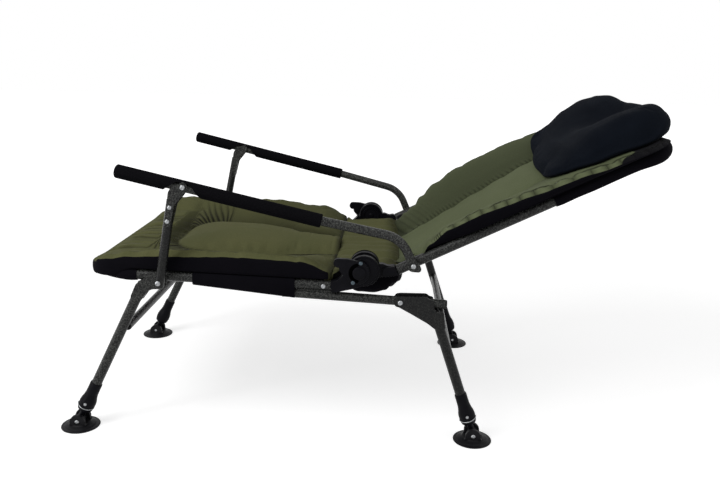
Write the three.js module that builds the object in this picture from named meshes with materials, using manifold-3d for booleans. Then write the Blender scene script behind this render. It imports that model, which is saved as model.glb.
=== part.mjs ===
import * as THREE from "three";
import { mergeVertices } from "three/addons/utils/BufferGeometryUtils.js";
import Module from "manifold-3d";

const wasm = await Module();
wasm.setup();

// Millimetres, +Z up. The sitter faces -Y, the sitter's left is +X. Places are
// measured from a point on the floor between the two front feet.

// Tubes
const frameTubeRadius = 10;
const railRadius = 8.75;
const armTubeRadius = 8.75;
const legTubeRadius = 10;
const crossbarRadius = 8;
const touchGap = 0.3;
const runningGap = 0.3;
const seatHalfWidth = 262;

// Reclining hinge
const hingeCentre = { y: 566.6, z: 347.3 };
const hubRadius = 31;
const hingeHalfDepth = 14;
const hingeSeatInner = seatHalfWidth - hingeHalfDepth;
const hingeSeatOuter = seatHalfWidth + hingeHalfDepth;
const hingeBackDepth = 15;
const hingeBackInner = hingeSeatInner - hingeBackDepth;
const hingeBackArmDepth = 20;
const hingeBackArmOuter = hingeBackInner + hingeBackArmDepth;
const seatSocketReach = 62.6;
const hingeSocketStart = hingeCentre.y - seatSocketReach;
const socketHalfHeight = 10;
const neckRise = 8;
const hubShoulderDrop = 30;
const knobDepth = 11;
const knobHubRadius = 15;
const knobReach = 42.6;
const knobRise = 15.7;
const knobTip = { y: hingeCentre.y - knobReach, z: hingeCentre.z + knobRise };
const knobTipRadius = 7.5;
const knobButtonRadius = 12.5;
const knobButtonDepth = 5;

// Seat frame
const seatTailDrop = 35.5;
const seatTubeTail = { y: hingeSocketStart - touchGap, z: hingeCentre.z - seatTailDrop };
const seatTubeNose = { y: 46, z: 325 };
const seatNoseBendRadius = 75;
const railStart = { y: 410, z: 295.3 };
const railEnd = { y: 723, z: 280.6 };
const railPadStart = 452;
const railPadEnd = 486;
const railPadHalfWidth = 4;
const plugBoltPlace = { y: 490, z: 312.2 };

// Back frame
const backHalfWidth = hingeBackInner + frameTubeRadius;
const backSocketReach = 62.9;
const backSocketDrop = 6.5;
const backTubeRun = 488.5;
const backTubeRise = 240.8;
const backTubeFoot = { y: hingeCentre.y + backSocketReach, z: hingeCentre.z - backSocketDrop };
const backTubeHead = { y: backTubeFoot.y + backTubeRun, z: backTubeFoot.z + backTubeRise };
const backHeadBendRadius = 50;

// Bolts
const pivotShankRadius = 4;
const boltHeadRadius = 5.2;
const boltHeadDepth = 3.2;
const smallShankRadius = 2.6;
const smallHeadRadius = 4.4;
const rivetHeadRadius = 3.8;
const rivetHeadDepth = 2;

// Armrests
const armPivotReach = 29.7;
const armPivotRise = 12.7;
const armPivotOutset = 20.3;
const armPivot = {
  x: backHalfWidth + armPivotOutset,
  y: backTubeFoot.y + armPivotReach,
  z: backTubeFoot.z + armPivotRise,
};
const armElbowLead = 24.3;
const armElbowRise = 54.9;
const armElbowOutset = 1.7;
const armElbow = {
  x: armPivot.x + armElbowOutset,
  y: armPivot.y - armElbowLead,
  z: armPivot.z + armElbowRise,
};
const armSplayOutset = 23;
const armSplay = { x: armElbow.x + armSplayOutset, y: 490, z: 441.3 };
const armFrontOutset = 10.9;
const armFront = { x: armSplay.x + armFrontOutset, y: 118, z: 526 };
const armBendRadius = 62;
const armLugRadius = 11.5;
const armLugClearance = 0.8;
const armLugInner = backHalfWidth + frameTubeRadius + armLugClearance;
const armLugThickness = 7.7;
const armLugOuter = armLugInner + armLugThickness;
const armLugReach = 11.8;
const armLugDrop = 7.5;
const armLugToe = { y: armPivot.y + armLugReach, z: armPivot.z - armLugDrop };
const armLugToeRadius = 6;
const gripRadius = 12.8;
const gripNoseCover = 5;
const gripStart = 487;
const notchFrontReach = 36;
const notchRearReach = 34;
const notchRoof = 9.4;

// Posts
const postFootOutset = 22.5;
const postFoot = { x: seatHalfWidth + postFootOutset, y: 179.4, z: 303 };
const postLean = 10.1;
const postTop = { x: postFoot.x + postLean, y: 212.6, z: 476 };
const postRadius = 8.75;
const postHeadPivot = { y: 236.6, z: 500.6 };
const headPlateGap = 0.55;
const headPlateThickness = 2.2;
const headEyeRadius = 9;
const headHookTop = { y: 214, z: 498.5 };
const headHookFront = { y: 210, z: 491 };
const headStrapFrontTop = { y: 206.8, z: 470 };
const headStrapFrontFoot = { y: 199.6, z: 430 };
const headStrapRearFoot = { y: 211, z: 428 };
const headStrapRearTop = { y: 221, z: 468 };
const headElbow = { y: 229.5, z: 478 };
const headChin = { y: 241, z: 492.5 };
const bridgeFoot = 477;
const bridgeRoof = 484;
const bridgeFront = 212;
const bridgeRear = 223;
const upperRivet = { y: 211, z: 463 };
const lowerRivet = { y: 206, z: 437 };

// Legs
const legPlane = seatHalfWidth;
const frontPivot = { y: 180, z: 314.5 };
const rearPivot = { y: 636.4, z: 284.9 };
const footPinHeight = 16;
const rearFootReach = 788;
const frontLegTop = { y: 141.5, z: 304.5 };
const rearLegTop = { y: 703, z: 265 };
const frontCrossbar = { y: 103.5, z: 212 };
const rearCrossbar = { y: 732, z: 185 };
const cheekInnerOffset = 10.7;
const cheekThickness = 1.9;
const frontCheekOutline = [
  [152, 331], [186, 331], [193, 318], [189, 302], [180, 297], [163, 297],
  [152, 291], [138, 272], [119, 279], [131, 306],
];
const frontWebOutline = [
  [134, 300], [152, 294], [140, 274], [120, 280],
];
const rearCheekOutline = [
  [629, 294], [624, 285], [628, 277], [634, 275.8], [700, 238.9], [721, 246],
  [719, 270], [707, 267], [700, 279], [700, 291.5], [692.3, 292.6],
  [686.4, 297.5], [634, 297],
];
const rearWebOutline = [
  [684, 262], [706, 266], [712, 246], [700, 240.5], [688, 247.5],
];

// Lock collar, sliding leg and foot; distances run up the leg from the foot pin
const collarFoot = 23;
const collarTop = 87;
const tubeMouth = 48;
const collarMouthRadius = 14;
const collarBellyRadius = 15.6;
const collarBellyFoot = 30;
const collarBellyTop = 46;
const collarWaist = 60;
const collarWaistRadius = 12.6;
const collarTopRadius = 11.8;
const slideRadius = 7.8;
const slideTop = 205;
const slideFoot = 40;
const slideBoreRadius = 8.1;
const slideBoreTop = 212;
const neckRadius = 6;
const knuckleRadius = 9;
const knuckleHalfWidth = 10.6;
const footPinRadius = 3;
const buttonHeight = 42;
const buttonRadius = 3.4;
const buttonSeat = 10.6;
const buttonFace = 17;
const discRadius = 38;
const rimThickness = 2.5;
const domeShoulderRadius = 24;
const domeShoulderHeight = 6.5;
const earRadius = 19;
const earTop = 29.5;
const earCrownRadius = 15;
const earSlotHalfWidth = 11;
const earSlotFloor = 6.4;

// Slings
const sleeveRadius = 12.4;
const sleeveBoreRadius = 10.3;
const sleeveBack = 132;
const slingInset = 13.8;
const slingHalfWidth = seatHalfWidth - slingInset;
const slingUnderside = 2;
const slingThickness = 3;
const slingRearInset = 6.7;
const slingRear = seatTubeTail.y - slingRearInset;
const wrapFront = 240;
const wrapRear = 435.5;
const wrapOutset = 12.8;
const wrapOuter = seatHalfWidth + wrapOutset;
const wrapFrontDrop = 12.4;
const wrapRearDrop = 26.5;
const wrapTop = 11.9;
const backSlingInset = 15;
const backSlingHalfWidth = backHalfWidth - backSlingInset;
const backSlingFoot = 6;
const backSleeveFoot = 320;

// Cushions: height is measured square to the tubes from their axis
const cushionUnderside = 12.3;
const rearInset = 1;
const seatPadOverhang = 9;
const seatPad = {
  halfWidth: seatHalfWidth + seatPadOverhang, cornerRadius: 46, rearCornerRadius: 16,
  front: 38, rear: seatTubeTail.y - rearInset,
  seamHalfWidth: 124, seamFront: 155, seamRear: 600, seamCornerRadius: 76,
  seamHeight: 17, crown: 27, crownReach: 48,
};
const seatPlaces = [46, 57, 80, 119, 196, 330, 445, 521];
const seatWeltHeights = [18, 26, 30, 36, 40, 46, 45, 22];
const seatPeakHeights = [19, 32, 43, 47, 50, 53, 48, 24];
const seatMiddleWelts = [15, 16, 19, 30, 40, 46, 45, 22];
const seatMiddlePeaks = [16, 18, 22, 32, 49, 53, 48, 24];
const seatMiddleHalfWidth = 150;
const seatSideBlend = 95;
const backPadOverhang = 25;
const backPad = {
  halfWidth: backHalfWidth + backPadOverhang, cornerRadius: 60, rearCornerRadius: 40, front: -4, rear: 551,
  seamHalfWidth: 112, seamFront: -60, seamRear: 600, seamCornerRadius: 30,
  seamHeight: 15.5, crown: 8, crownReach: 40,
};
const backPlaces = [-4, 52, 80, 121, 183, 264, 317, 374, 433, 548];
const backWeltHeights = [2, 8, 22, 34, 38, 33, 28, 26, 19, 15];
const backPeakHeights = [3, 12, 25, 40, 48, 46, 43, 39, 34, 19];
const backTaperPlaces = [-4, 40, 60, 95, 180];
const backTaperShares = [0.852, 0.858, 0.925, 0.94, 1];
const sagPlaces = [-4, 60, 136, 200, 269, 330];
const sagDepths = [40, 36, 27, 17, 8, 0];
const sagFlatHalfWidth = 60;
const sagBlend = 175;
const padPeakShare = 0.93;
const pillowInset = 38;
const pillow = {
  halfWidth: backPad.halfWidth - pillowInset, foot: 335, head: 591, cornerRadius: 92, lift: 14, clearance: 1,
  footRoundness: 62, headRoundness: 20, roundStart: 430, roundReach: 120,
  overhangStart: 560, overhangRim: 24,
};
const pillowPlaces = [335, 360, 400, 450, 500, 540, 570, 591];
const pillowCrowns = [46, 46, 60, 77, 81.5, 77.5, 70, 61.5];
const pillowDipShare = 0.45;
const pillowDipHalfWidth = 90;
const pillowDipStart = 380;
const pillowDipReach = 120;
const lumbarSideGap = 9;
const lumbar = {
  halfWidth: hingeBackInner - lumbarSideGap, front: hingeSocketStart - rearInset, rear: 634, cornerRadius: 14,
};
const lumbarFrontHeight = 326;
const lumbarFrontRise = 8;
const lumbarPuff = 5;
const lumbarBelly = 36;
const lumbarRoundness = 24;

const steel = new THREE.MeshStandardMaterial({ color: 0x4b4d50, roughness: 0.45, metalness: 0.6 });
const zinc = new THREE.MeshStandardMaterial({ color: 0xcfd2d4, roughness: 0.3, metalness: 0.9 });
const plastic = new THREE.MeshStandardMaterial({ color: 0x1b1c1e, roughness: 0.5, metalness: 0 });
const foam = new THREE.MeshStandardMaterial({ color: 0x17181a, roughness: 0.95, metalness: 0 });
const olive = new THREE.MeshStandardMaterial({ color: 0x4d5230, roughness: 0.85, metalness: 0 });
const webbing = new THREE.MeshStandardMaterial({ color: 0x141518, roughness: 0.9, metalness: 0 });
const fleece = new THREE.MeshStandardMaterial({ color: 0x15171f, roughness: 1, metalness: 0 });

const lateral = new THREE.Vector3(1, 0, 0);
const tubeSides = 12;
const turnedSides = 16;
const fineSides = 10;
const bendSteps = 5;

function solidOf(geometry) {
  const bare = new THREE.BufferGeometry();
  bare.setAttribute("position", geometry.getAttribute("position"));
  bare.setIndex(geometry.getIndex());
  const welded = mergeVertices(bare);
  return new wasm.Manifold(new wasm.Mesh({
    numProp: 3,
    vertProperties: new Float32Array(welded.getAttribute("position").array),
    triVerts: new Uint32Array(welded.getIndex().array),
  }));
}

function geometryOf(solid) {
  const mesh = solid.getMesh();
  const geometry = new THREE.BufferGeometry();
  geometry.setAttribute("position", new THREE.BufferAttribute(new Float32Array(mesh.vertProperties), 3));
  geometry.setIndex(new THREE.BufferAttribute(new Uint32Array(mesh.triVerts), 1));
  geometry.computeVertexNormals();
  return geometry;
}

function fuse(first, ...others) {
  return geometryOf(others.reduce((sum, next) => sum.add(solidOf(next)), solidOf(first)));
}

function cut(first, ...tools) {
  return geometryOf(tools.reduce((rest, tool) => rest.subtract(solidOf(tool)), solidOf(first)));
}

// A route whose stations are the rings of a swept tube.
class Route extends THREE.Curve {
  constructor(stations) {
    super();
    this.stations = stations;
  }

  station(share) {
    return this.stations[Math.round(share * (this.stations.length - 1))];
  }

  getPointAt(share, target = new THREE.Vector3()) {
    return target.copy(this.station(share).point);
  }

  getTangentAt(share, target = new THREE.Vector3()) {
    return target.copy(this.station(share).direction);
  }
}

function bentRoute(corners, bendRadius) {
  const stations = [];
  const directionAfter = (index) => corners[index + 1].clone().sub(corners[index]).normalize();
  stations.push({ point: corners[0], direction: directionAfter(0) });
  for (let index = 1; index < corners.length - 1; index += 1) {
    const before = directionAfter(index - 1);
    const after = directionAfter(index);
    const turn = before.angleTo(after);
    const reach = bendRadius * Math.tan(turn / 2);
    const axis = before.clone().cross(after).normalize();
    const inward = axis.clone().cross(before);
    const start = corners[index].clone().addScaledVector(before, -reach);
    const centre = start.clone().addScaledVector(inward, bendRadius);
    for (let step = 0; step <= bendSteps; step += 1) {
      const angle = turn * step / bendSteps;
      const arm = start.clone().sub(centre).applyAxisAngle(axis, angle);
      stations.push({
        point: arm.add(centre),
        direction: before.clone().applyAxisAngle(axis, angle),
      });
    }
  }
  const last = corners.length - 1;
  stations.push({ point: corners[last], direction: directionAfter(last - 1) });
  return new Route(stations);
}

function pipe(corners, radius, bendRadius = 0, sides = tubeSides) {
  const route = bentRoute(corners, bendRadius);
  const ring = [];
  for (let index = 0; index < sides; index += 1) {
    const angle = Math.PI * 2 * (index + 0.5) / sides;
    ring.push(new THREE.Vector2(Math.cos(angle) * radius, Math.sin(angle) * radius));
  }
  return new THREE.ExtrudeGeometry(new THREE.Shape(ring), {
    steps: route.stations.length - 1,
    extrudePath: route,
    bevelEnabled: false,
  });
}

// Turns a profile of [radius, distance] pairs about the line from start along direction.
function turned(profile, start, direction, sides = turnedSides) {
  const points = profile.map(([radius, distance]) => new THREE.Vector2(radius, distance));
  const geometry = new THREE.LatheGeometry(points, sides);
  const tilt = new THREE.Quaternion().setFromUnitVectors(new THREE.Vector3(0, 1, 0), direction);
  return geometry.applyQuaternion(tilt).translate(start.x, start.y, start.z);
}

function rod(start, end, radius, sides = fineSides) {
  const along = end.clone().sub(start);
  const length = along.length();
  return turned([[0, 0], [radius, 0], [radius, length], [0, length]], start, along.normalize(), sides);
}

// A plate whose outline lies in the side view and whose thickness runs across the chair.
function plate(outline, from, to) {
  const shape = new THREE.Shape(outline.map(([y, z]) => new THREE.Vector2(y, z)));
  const geometry = new THREE.ExtrudeGeometry(shape, { depth: Math.abs(to - from), bevelEnabled: false });
  const basis = new THREE.Matrix4().makeBasis(
    new THREE.Vector3(0, 1, 0), new THREE.Vector3(0, 0, 1), lateral,
  );
  return geometry.applyMatrix4(basis).translate(Math.min(from, to), 0, 0);
}

function arcPoints(centre, radius, fromAngle, toAngle, steps) {
  const points = [];
  for (let index = 0; index <= steps; index += 1) {
    const angle = fromAngle + (toAngle - fromAngle) * index / steps;
    points.push([centre.y + radius * Math.cos(angle), centre.z + radius * Math.sin(angle)]);
  }
  return points;
}

// The outline of two discs of the side view and the band that spans them.
function linkOutline(first, firstRadius, second, secondRadius) {
  const bearing = Math.atan2(second.z - first.z, second.y - first.y);
  const span = Math.hypot(second.z - first.z, second.y - first.y);
  const lean = Math.acos((firstRadius - secondRadius) / span);
  return [
    ...arcPoints(first, firstRadius, bearing + lean, bearing + Math.PI * 2 - lean, turnedSides / 2),
    ...arcPoints(second, secondRadius, bearing - lean, bearing + lean, turnedSides / 2),
  ];
}

function crossRod(place, from, to, radius, sideCount = fineSides) {
  const start = new THREE.Vector3(Math.min(from, to), place.y, place.z);
  const end = new THREE.Vector3(Math.max(from, to), place.y, place.z);
  return rod(start, end, radius, sideCount);
}

// Cutting tools whose flats, not corners, lie at the radius.
function bore(start, end, radius, sideCount = fineSides) {
  return rod(start, end, radius / Math.cos(Math.PI / sideCount), sideCount);
}

function crossBore(place, from, to, radius, sideCount = fineSides) {
  return crossRod(place, from, to, radius / Math.cos(Math.PI / sideCount), sideCount);
}

// A bolt across the chair: its head ends the shank at the outer end.
function crossBolt(place, side, inner, outer, shankRadius, headRadius, headDepth) {
  const start = new THREE.Vector3(side * inner, place.y, place.z);
  const direction = lateral.clone().multiplyScalar(side);
  const length = outer - inner;
  return turned([
    [0, 0], [shankRadius, 0], [shankRadius, length], [headRadius, length],
    [headRadius * 0.9, length + headDepth * 0.65], [headRadius * 0.5, length + headDepth],
    [0, length + headDepth],
  ], start, direction, fineSides);
}

const chair = new THREE.Group();
chair.name = "carp_fishing_chair";
const frame = new THREE.Group();
chair.add(frame);

function addPart(name, geometry, material) {
  const mesh = new THREE.Mesh(geometry, material);
  mesh.name = name;
  frame.add(mesh);
}

const sides = [["left", 1], ["right", -1]];

function lineHeight(from, to, y) {
  return from.z + (to.z - from.z) * (y - from.y) / (to.y - from.y);
}

const seatHeight = (y) => lineHeight(seatTubeNose, seatTubeTail, y);
const railHeight = (y) => lineHeight(railStart, railEnd, y);

function seatPoint(x, y) {
  return new THREE.Vector3(x, y, seatHeight(y));
}

const backAngle = Math.atan2(backTubeHead.z - backTubeFoot.z, backTubeHead.y - backTubeFoot.y);

// Places on the back: along runs up the back tubes, above stands square to them.
function backPoint(x, along, above) {
  return new THREE.Vector3(
    x,
    backTubeFoot.y + along * Math.cos(backAngle) - above * Math.sin(backAngle),
    backTubeFoot.z + along * Math.sin(backAngle) + above * Math.cos(backAngle),
  );
}

const backLength = Math.hypot(backTubeHead.y - backTubeFoot.y, backTubeHead.z - backTubeFoot.z);

// Seat frame
const seatLoop = [
  seatPoint(seatHalfWidth, seatTubeTail.y), seatPoint(seatHalfWidth, seatTubeNose.y),
  seatPoint(-seatHalfWidth, seatTubeNose.y), seatPoint(-seatHalfWidth, seatTubeTail.y),
];
addPart("seat_frame_tube", cut(
  pipe(seatLoop, frameTubeRadius, seatNoseBendRadius),
  ...sides.flatMap(([, side]) => [
    crossBore(frontPivot, side * hingeSeatInner, side * hingeSeatOuter, pivotShankRadius + touchGap),
    crossBore(plugBoltPlace, side * hingeSeatInner, side * hingeSeatOuter, smallShankRadius + touchGap),
  ]),
), steel);

for (const [label, side] of sides) {
  const railPipe = pipe([
    new THREE.Vector3(side * seatHalfWidth, railStart.y, railStart.z),
    new THREE.Vector3(side * seatHalfWidth, railEnd.y, railEnd.z),
  ], railRadius);
  const pad = plate([
    [railPadStart, railHeight(railPadStart)], [railPadEnd, railHeight(railPadEnd)],
    [railPadEnd, seatHeight(railPadEnd)], [railPadStart, seatHeight(railPadStart)],
  ], side * (seatHalfWidth - railPadHalfWidth), side * (seatHalfWidth + railPadHalfWidth));
  const tubeEnvelope = bore(
    seatPoint(side * seatHalfWidth, railPadStart - railRadius),
    seatPoint(side * seatHalfWidth, seatTubeTail.y),
    frameTubeRadius + touchGap,
    tubeSides,
  );
  addPart(`${label}_lower_rail`, cut(
    fuse(railPipe, pad),
    tubeEnvelope,
    crossBore(rearPivot, side * hingeSeatInner, side * hingeSeatOuter, pivotShankRadius + touchGap),
  ), steel);
  addPart(`${label}_rail_bolt`, crossBolt(
    plugBoltPlace, side, seatHalfWidth - frameTubeRadius, seatHalfWidth + frameTubeRadius + touchGap,
    smallShankRadius, smallHeadRadius, rivetHeadDepth,
  ), zinc);
}

// Reclining hinges
const socketHeight = lineHeight(seatTubeNose, seatTubeTail, hingeSocketStart);
for (const [label, side] of sides) {
  const socket = [
    [hingeSocketStart, socketHeight - socketHalfHeight],
    [hingeCentre.y, hingeCentre.z - hubShoulderDrop],
    [hingeCentre.y, hingeCentre.z],
    [hingeCentre.y - hubShoulderDrop, hingeCentre.z - neckRise],
    [hingeSocketStart + socketHalfHeight, socketHeight + socketHalfHeight],
    [hingeSocketStart, socketHeight + socketHalfHeight],
  ];
  const hub = crossRod(hingeCentre, side * hingeSeatInner, side * hingeSeatOuter, hubRadius, turnedSides);
  const axleBore = crossBore(
    hingeCentre, side * (hingeBackInner - knobDepth), side * (hingeSeatOuter + knobDepth),
    pivotShankRadius + runningGap,
  );
  addPart(`${label}_hinge_seat_arm`, cut(
    fuse(hub, plate(socket, side * hingeSeatInner, side * hingeSeatOuter)),
    axleBore,
  ), plastic);
  const backHub = crossRod(
    hingeCentre, side * hingeBackInner, side * (hingeSeatInner - runningGap), hubRadius - touchGap,
    turnedSides,
  );
  const throat = { y: hingeCentre.y, z: hingeCentre.z - hubShoulderDrop + frameTubeRadius };
  const tubeMouthLow = backPoint(0, 0, -frameTubeRadius);
  const tubeMouthHigh = backPoint(0, 0, frameTubeRadius);
  const armOutline = [
    [throat.y, throat.z - frameTubeRadius], [tubeMouthLow.y, tubeMouthLow.z],
    [tubeMouthHigh.y, tubeMouthHigh.z], [hingeCentre.y + hubRadius / 2, hingeCentre.z + frameTubeRadius],
    [throat.y, throat.z],
  ];
  const hubEnvelope = crossBore(
    hingeCentre, side * (hingeSeatInner - runningGap), side * hingeSeatOuter, hubRadius + runningGap,
    turnedSides,
  );
  const socketEnvelope = plate([
    [hingeSocketStart, socketHeight - frameTubeRadius * 2],
    [hingeCentre.y, socketHeight - frameTubeRadius * 2],
    [hingeCentre.y, hingeCentre.z], [hingeSocketStart, hingeCentre.z],
  ], side * (hingeSeatInner - runningGap), side * hingeSeatOuter);
  addPart(`${label}_hinge_back_arm`, cut(
    fuse(backHub, plate(armOutline, side * hingeBackInner, side * hingeBackArmOuter)),
    hubEnvelope, socketEnvelope, axleBore,
  ), plastic);
  addPart(`${label}_hinge_bolt`, crossBolt(
    hingeCentre, -side, -(hingeSeatOuter + knobDepth - boltHeadDepth), -(hingeBackInner - touchGap),
    pivotShankRadius, boltHeadRadius, boltHeadDepth,
  ), zinc);
  const knobFace = hingeSeatOuter + runningGap;
  const wing = plate(
    linkOutline(hingeCentre, knobHubRadius, knobTip, knobTipRadius),
    side * knobFace, side * (knobFace + knobDepth - boltHeadDepth),
  );
  const button = crossRod(
    hingeCentre, side * knobFace, side * (knobFace + knobDepth + knobButtonDepth), knobButtonRadius,
    turnedSides,
  );
  const boltPocket = crossBore(
    hingeCentre, side * (knobFace - boltHeadDepth), side * (knobFace + knobDepth),
    pivotShankRadius + runningGap,
  );
  addPart(`${label}_hinge_knob`, cut(fuse(wing, button), boltPocket), plastic);
}

// Back frame
const backLoop = [
  backPoint(backHalfWidth, touchGap, 0), backPoint(backHalfWidth, backLength, 0),
  backPoint(-backHalfWidth, backLength, 0), backPoint(-backHalfWidth, touchGap, 0),
];
addPart("back_frame_tube", cut(
  pipe(backLoop, frameTubeRadius, backHeadBendRadius),
  ...sides.map(([, side]) => crossBore(
    armPivot, side * (hingeBackInner - touchGap), side * armLugOuter, pivotShankRadius + runningGap,
  )),
), steel);

// Armrests
function armPoint(side, corner) {
  return new THREE.Vector3(side * corner.x, corner.y, corner.z);
}

const gripAngle = Math.atan2(armSplay.z - armFront.z, armSplay.y - armFront.y);

// Places beside the armrest in side view, from the post pivot rearwards along it and square above it.
function besideArm(along, above) {
  return [
    postHeadPivot.y + along * Math.cos(gripAngle) - above * Math.sin(gripAngle),
    postHeadPivot.z + along * Math.sin(gripAngle) + above * Math.cos(gripAngle),
  ];
}

for (const [label, side] of sides) {
  const corners = [armPivot, armElbow, armSplay, armFront].map((corner) => armPoint(side, corner));
  const lug = plate(
    linkOutline(armPivot, armLugRadius, armLugToe, armLugToeRadius),
    side * armLugInner, side * armLugOuter,
  );
  addPart(`${label}_arm_tube`, cut(
    fuse(pipe(corners, armTubeRadius, armBendRadius), lug),
    plate([
      [armLugToe.y - armLugRadius * 3, armPivot.z - armLugRadius * 2],
      [armLugToe.y + armLugRadius, armPivot.z - armLugRadius * 2],
      [armLugToe.y + armLugRadius, armPivot.z + armLugRadius],
      [armLugToe.y - armLugRadius * 3, armPivot.z + armLugRadius],
    ], side * armLugOuter, side * (armLugOuter + armTubeRadius * 2)),
    plate([
      [armLugToe.y - armLugRadius * 4, armPivot.z - armLugRadius * 2],
      [armLugToe.y + armLugRadius, armPivot.z - armLugRadius * 2],
      [armLugToe.y + armLugRadius, armPivot.z + armLugRadius * 3],
      [armLugToe.y - armLugRadius * 4, armPivot.z + armLugRadius * 3],
    ], side * (armLugInner - armTubeRadius), side * armLugInner),
    crossBore(armPivot, side * (armLugInner - armTubeRadius), side * (armLugOuter + armTubeRadius * 2),
      pivotShankRadius + runningGap),
  ), steel);
  addPart(`${label}_arm_bolt`, crossBolt(
    armPivot, side, backHalfWidth - frameTubeRadius, armLugOuter + runningGap,
    pivotShankRadius, boltHeadRadius, boltHeadDepth,
  ), zinc);

  const splay = armPoint(side, armSplay);
  const forward = armPoint(side, armFront).sub(splay).normalize();
  const nose = armPoint(side, armFront).addScaledVector(forward, gripNoseCover);
  const rear = splay.clone().addScaledVector(forward, (armSplay.y - gripStart) / -forward.y);
  const boreEnd = armPoint(side, armFront).addScaledVector(forward, touchGap);
  const notch = plate([
    besideArm(-notchFrontReach - gripRadius, -gripRadius * 2),
    besideArm(notchRearReach + gripRadius, -gripRadius * 2),
    besideArm(notchRearReach - gripRadius - notchRoof, notchRoof),
    besideArm(-notchFrontReach + gripRadius + notchRoof, notchRoof),
  ], side * (armSplay.x - gripRadius), side * (armFront.x + gripRadius));
  addPart(`${label}_arm_grip`, cut(
    pipe([rear, nose], gripRadius),
    bore(splay, boreEnd, armTubeRadius + touchGap, tubeSides),
    notch,
  ), foam);
}

// Posts
for (const [label, side] of sides) {
  const foot = armPoint(side, postFoot);
  const top = armPoint(side, postTop);
  const armShare = (armSplay.y - postHeadPivot.y) / (armSplay.y - armFront.y);
  const headPlane = armSplay.x + (armFront.x - armSplay.x) * armShare;
  const footBore = crossBore(
    frontPivot, side * (postFoot.x - postRadius * 2), side * (postFoot.x + postRadius * 2),
    pivotShankRadius + runningGap,
  );
  addPart(`${label}_post`, cut(pipe([foot, top], postRadius), footBore), steel);
  const eyeStart = Math.PI * 0.72;
  const outline = [
    ...arcPoints(postHeadPivot, headEyeRadius, eyeStart, -Math.PI * 0.25, fineSides / 2),
    [headChin.y, headChin.z], [headElbow.y, headElbow.z],
    [headStrapRearTop.y, headStrapRearTop.z], [headStrapRearFoot.y, headStrapRearFoot.z],
    [headStrapFrontFoot.y, headStrapFrontFoot.z], [headStrapFrontTop.y, headStrapFrontTop.z],
    [headHookFront.y, headHookFront.z], [headHookTop.y, headHookTop.z],
  ];
  const innerFace = armTubeRadius + headPlateGap;
  const outerFace = innerFace + headPlateThickness;
  const plates = [1, -1].map((hand) => plate(
    outline, side * headPlane + hand * innerFace, side * headPlane + hand * outerFace,
  ));
  const bridge = plate([
    [bridgeFront, bridgeFoot], [bridgeRear, bridgeFoot], [bridgeRear, bridgeRoof], [bridgeFront, bridgeRoof],
  ],
  side * (headPlane - innerFace - headPlateThickness / 2),
  side * (headPlane + innerFace + headPlateThickness / 2));
  const rivets = [upperRivet, lowerRivet].map((place) => crossBolt(
    place, side, headPlane + innerFace + headPlateThickness / 2, headPlane + outerFace,
    rivetHeadRadius / 2, rivetHeadRadius, rivetHeadDepth,
  ));
  const along = top.clone().sub(foot).normalize();
  const tubeEnvelope = bore(
    foot, top.clone().addScaledVector(along, touchGap), postRadius + touchGap, tubeSides,
  );
  const pivotBore = crossBore(
    postHeadPivot, side * headPlane, side * (headPlane + outerFace * 2), smallShankRadius + touchGap,
  );
  addPart(`${label}_post_head`, cut(
    fuse(plates[0], plates[1], bridge, ...rivets), tubeEnvelope, pivotBore,
  ), steel);
  addPart(`${label}_post_bolt`, crossBolt(
    postHeadPivot, side, headPlane + armTubeRadius + touchGap, headPlane + outerFace + touchGap,
    smallShankRadius, boltHeadRadius, boltHeadDepth,
  ), zinc);
}

// Legs
const legEnds = {
  front: { foot: { y: 0, z: footPinHeight }, top: frontLegTop, pivot: frontPivot, cheek: frontCheekOutline,
    web: frontWebOutline, bar: frontCrossbar },
  rear: { foot: { y: rearFootReach, z: footPinHeight }, top: rearLegTop, pivot: rearPivot,
    cheek: rearCheekOutline, web: rearWebOutline, bar: rearCrossbar },
};

function legDirection(end) {
  return new THREE.Vector3(0, end.top.y - end.foot.y, end.top.z - end.foot.z).normalize();
}

function legStart(end, side) {
  return new THREE.Vector3(side * legPlane, end.foot.y, end.foot.z);
}

function legPoint(end, side, along) {
  return legStart(end, side).addScaledVector(legDirection(end), along);
}

function legRod(end, side, from, to, radius) {
  return rod(legPoint(end, side, from), legPoint(end, side, to), radius, tubeSides);
}

function legBore(end, side, from, to, radius) {
  return bore(legPoint(end, side, from), legPoint(end, side, to), radius, tubeSides);
}

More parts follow.
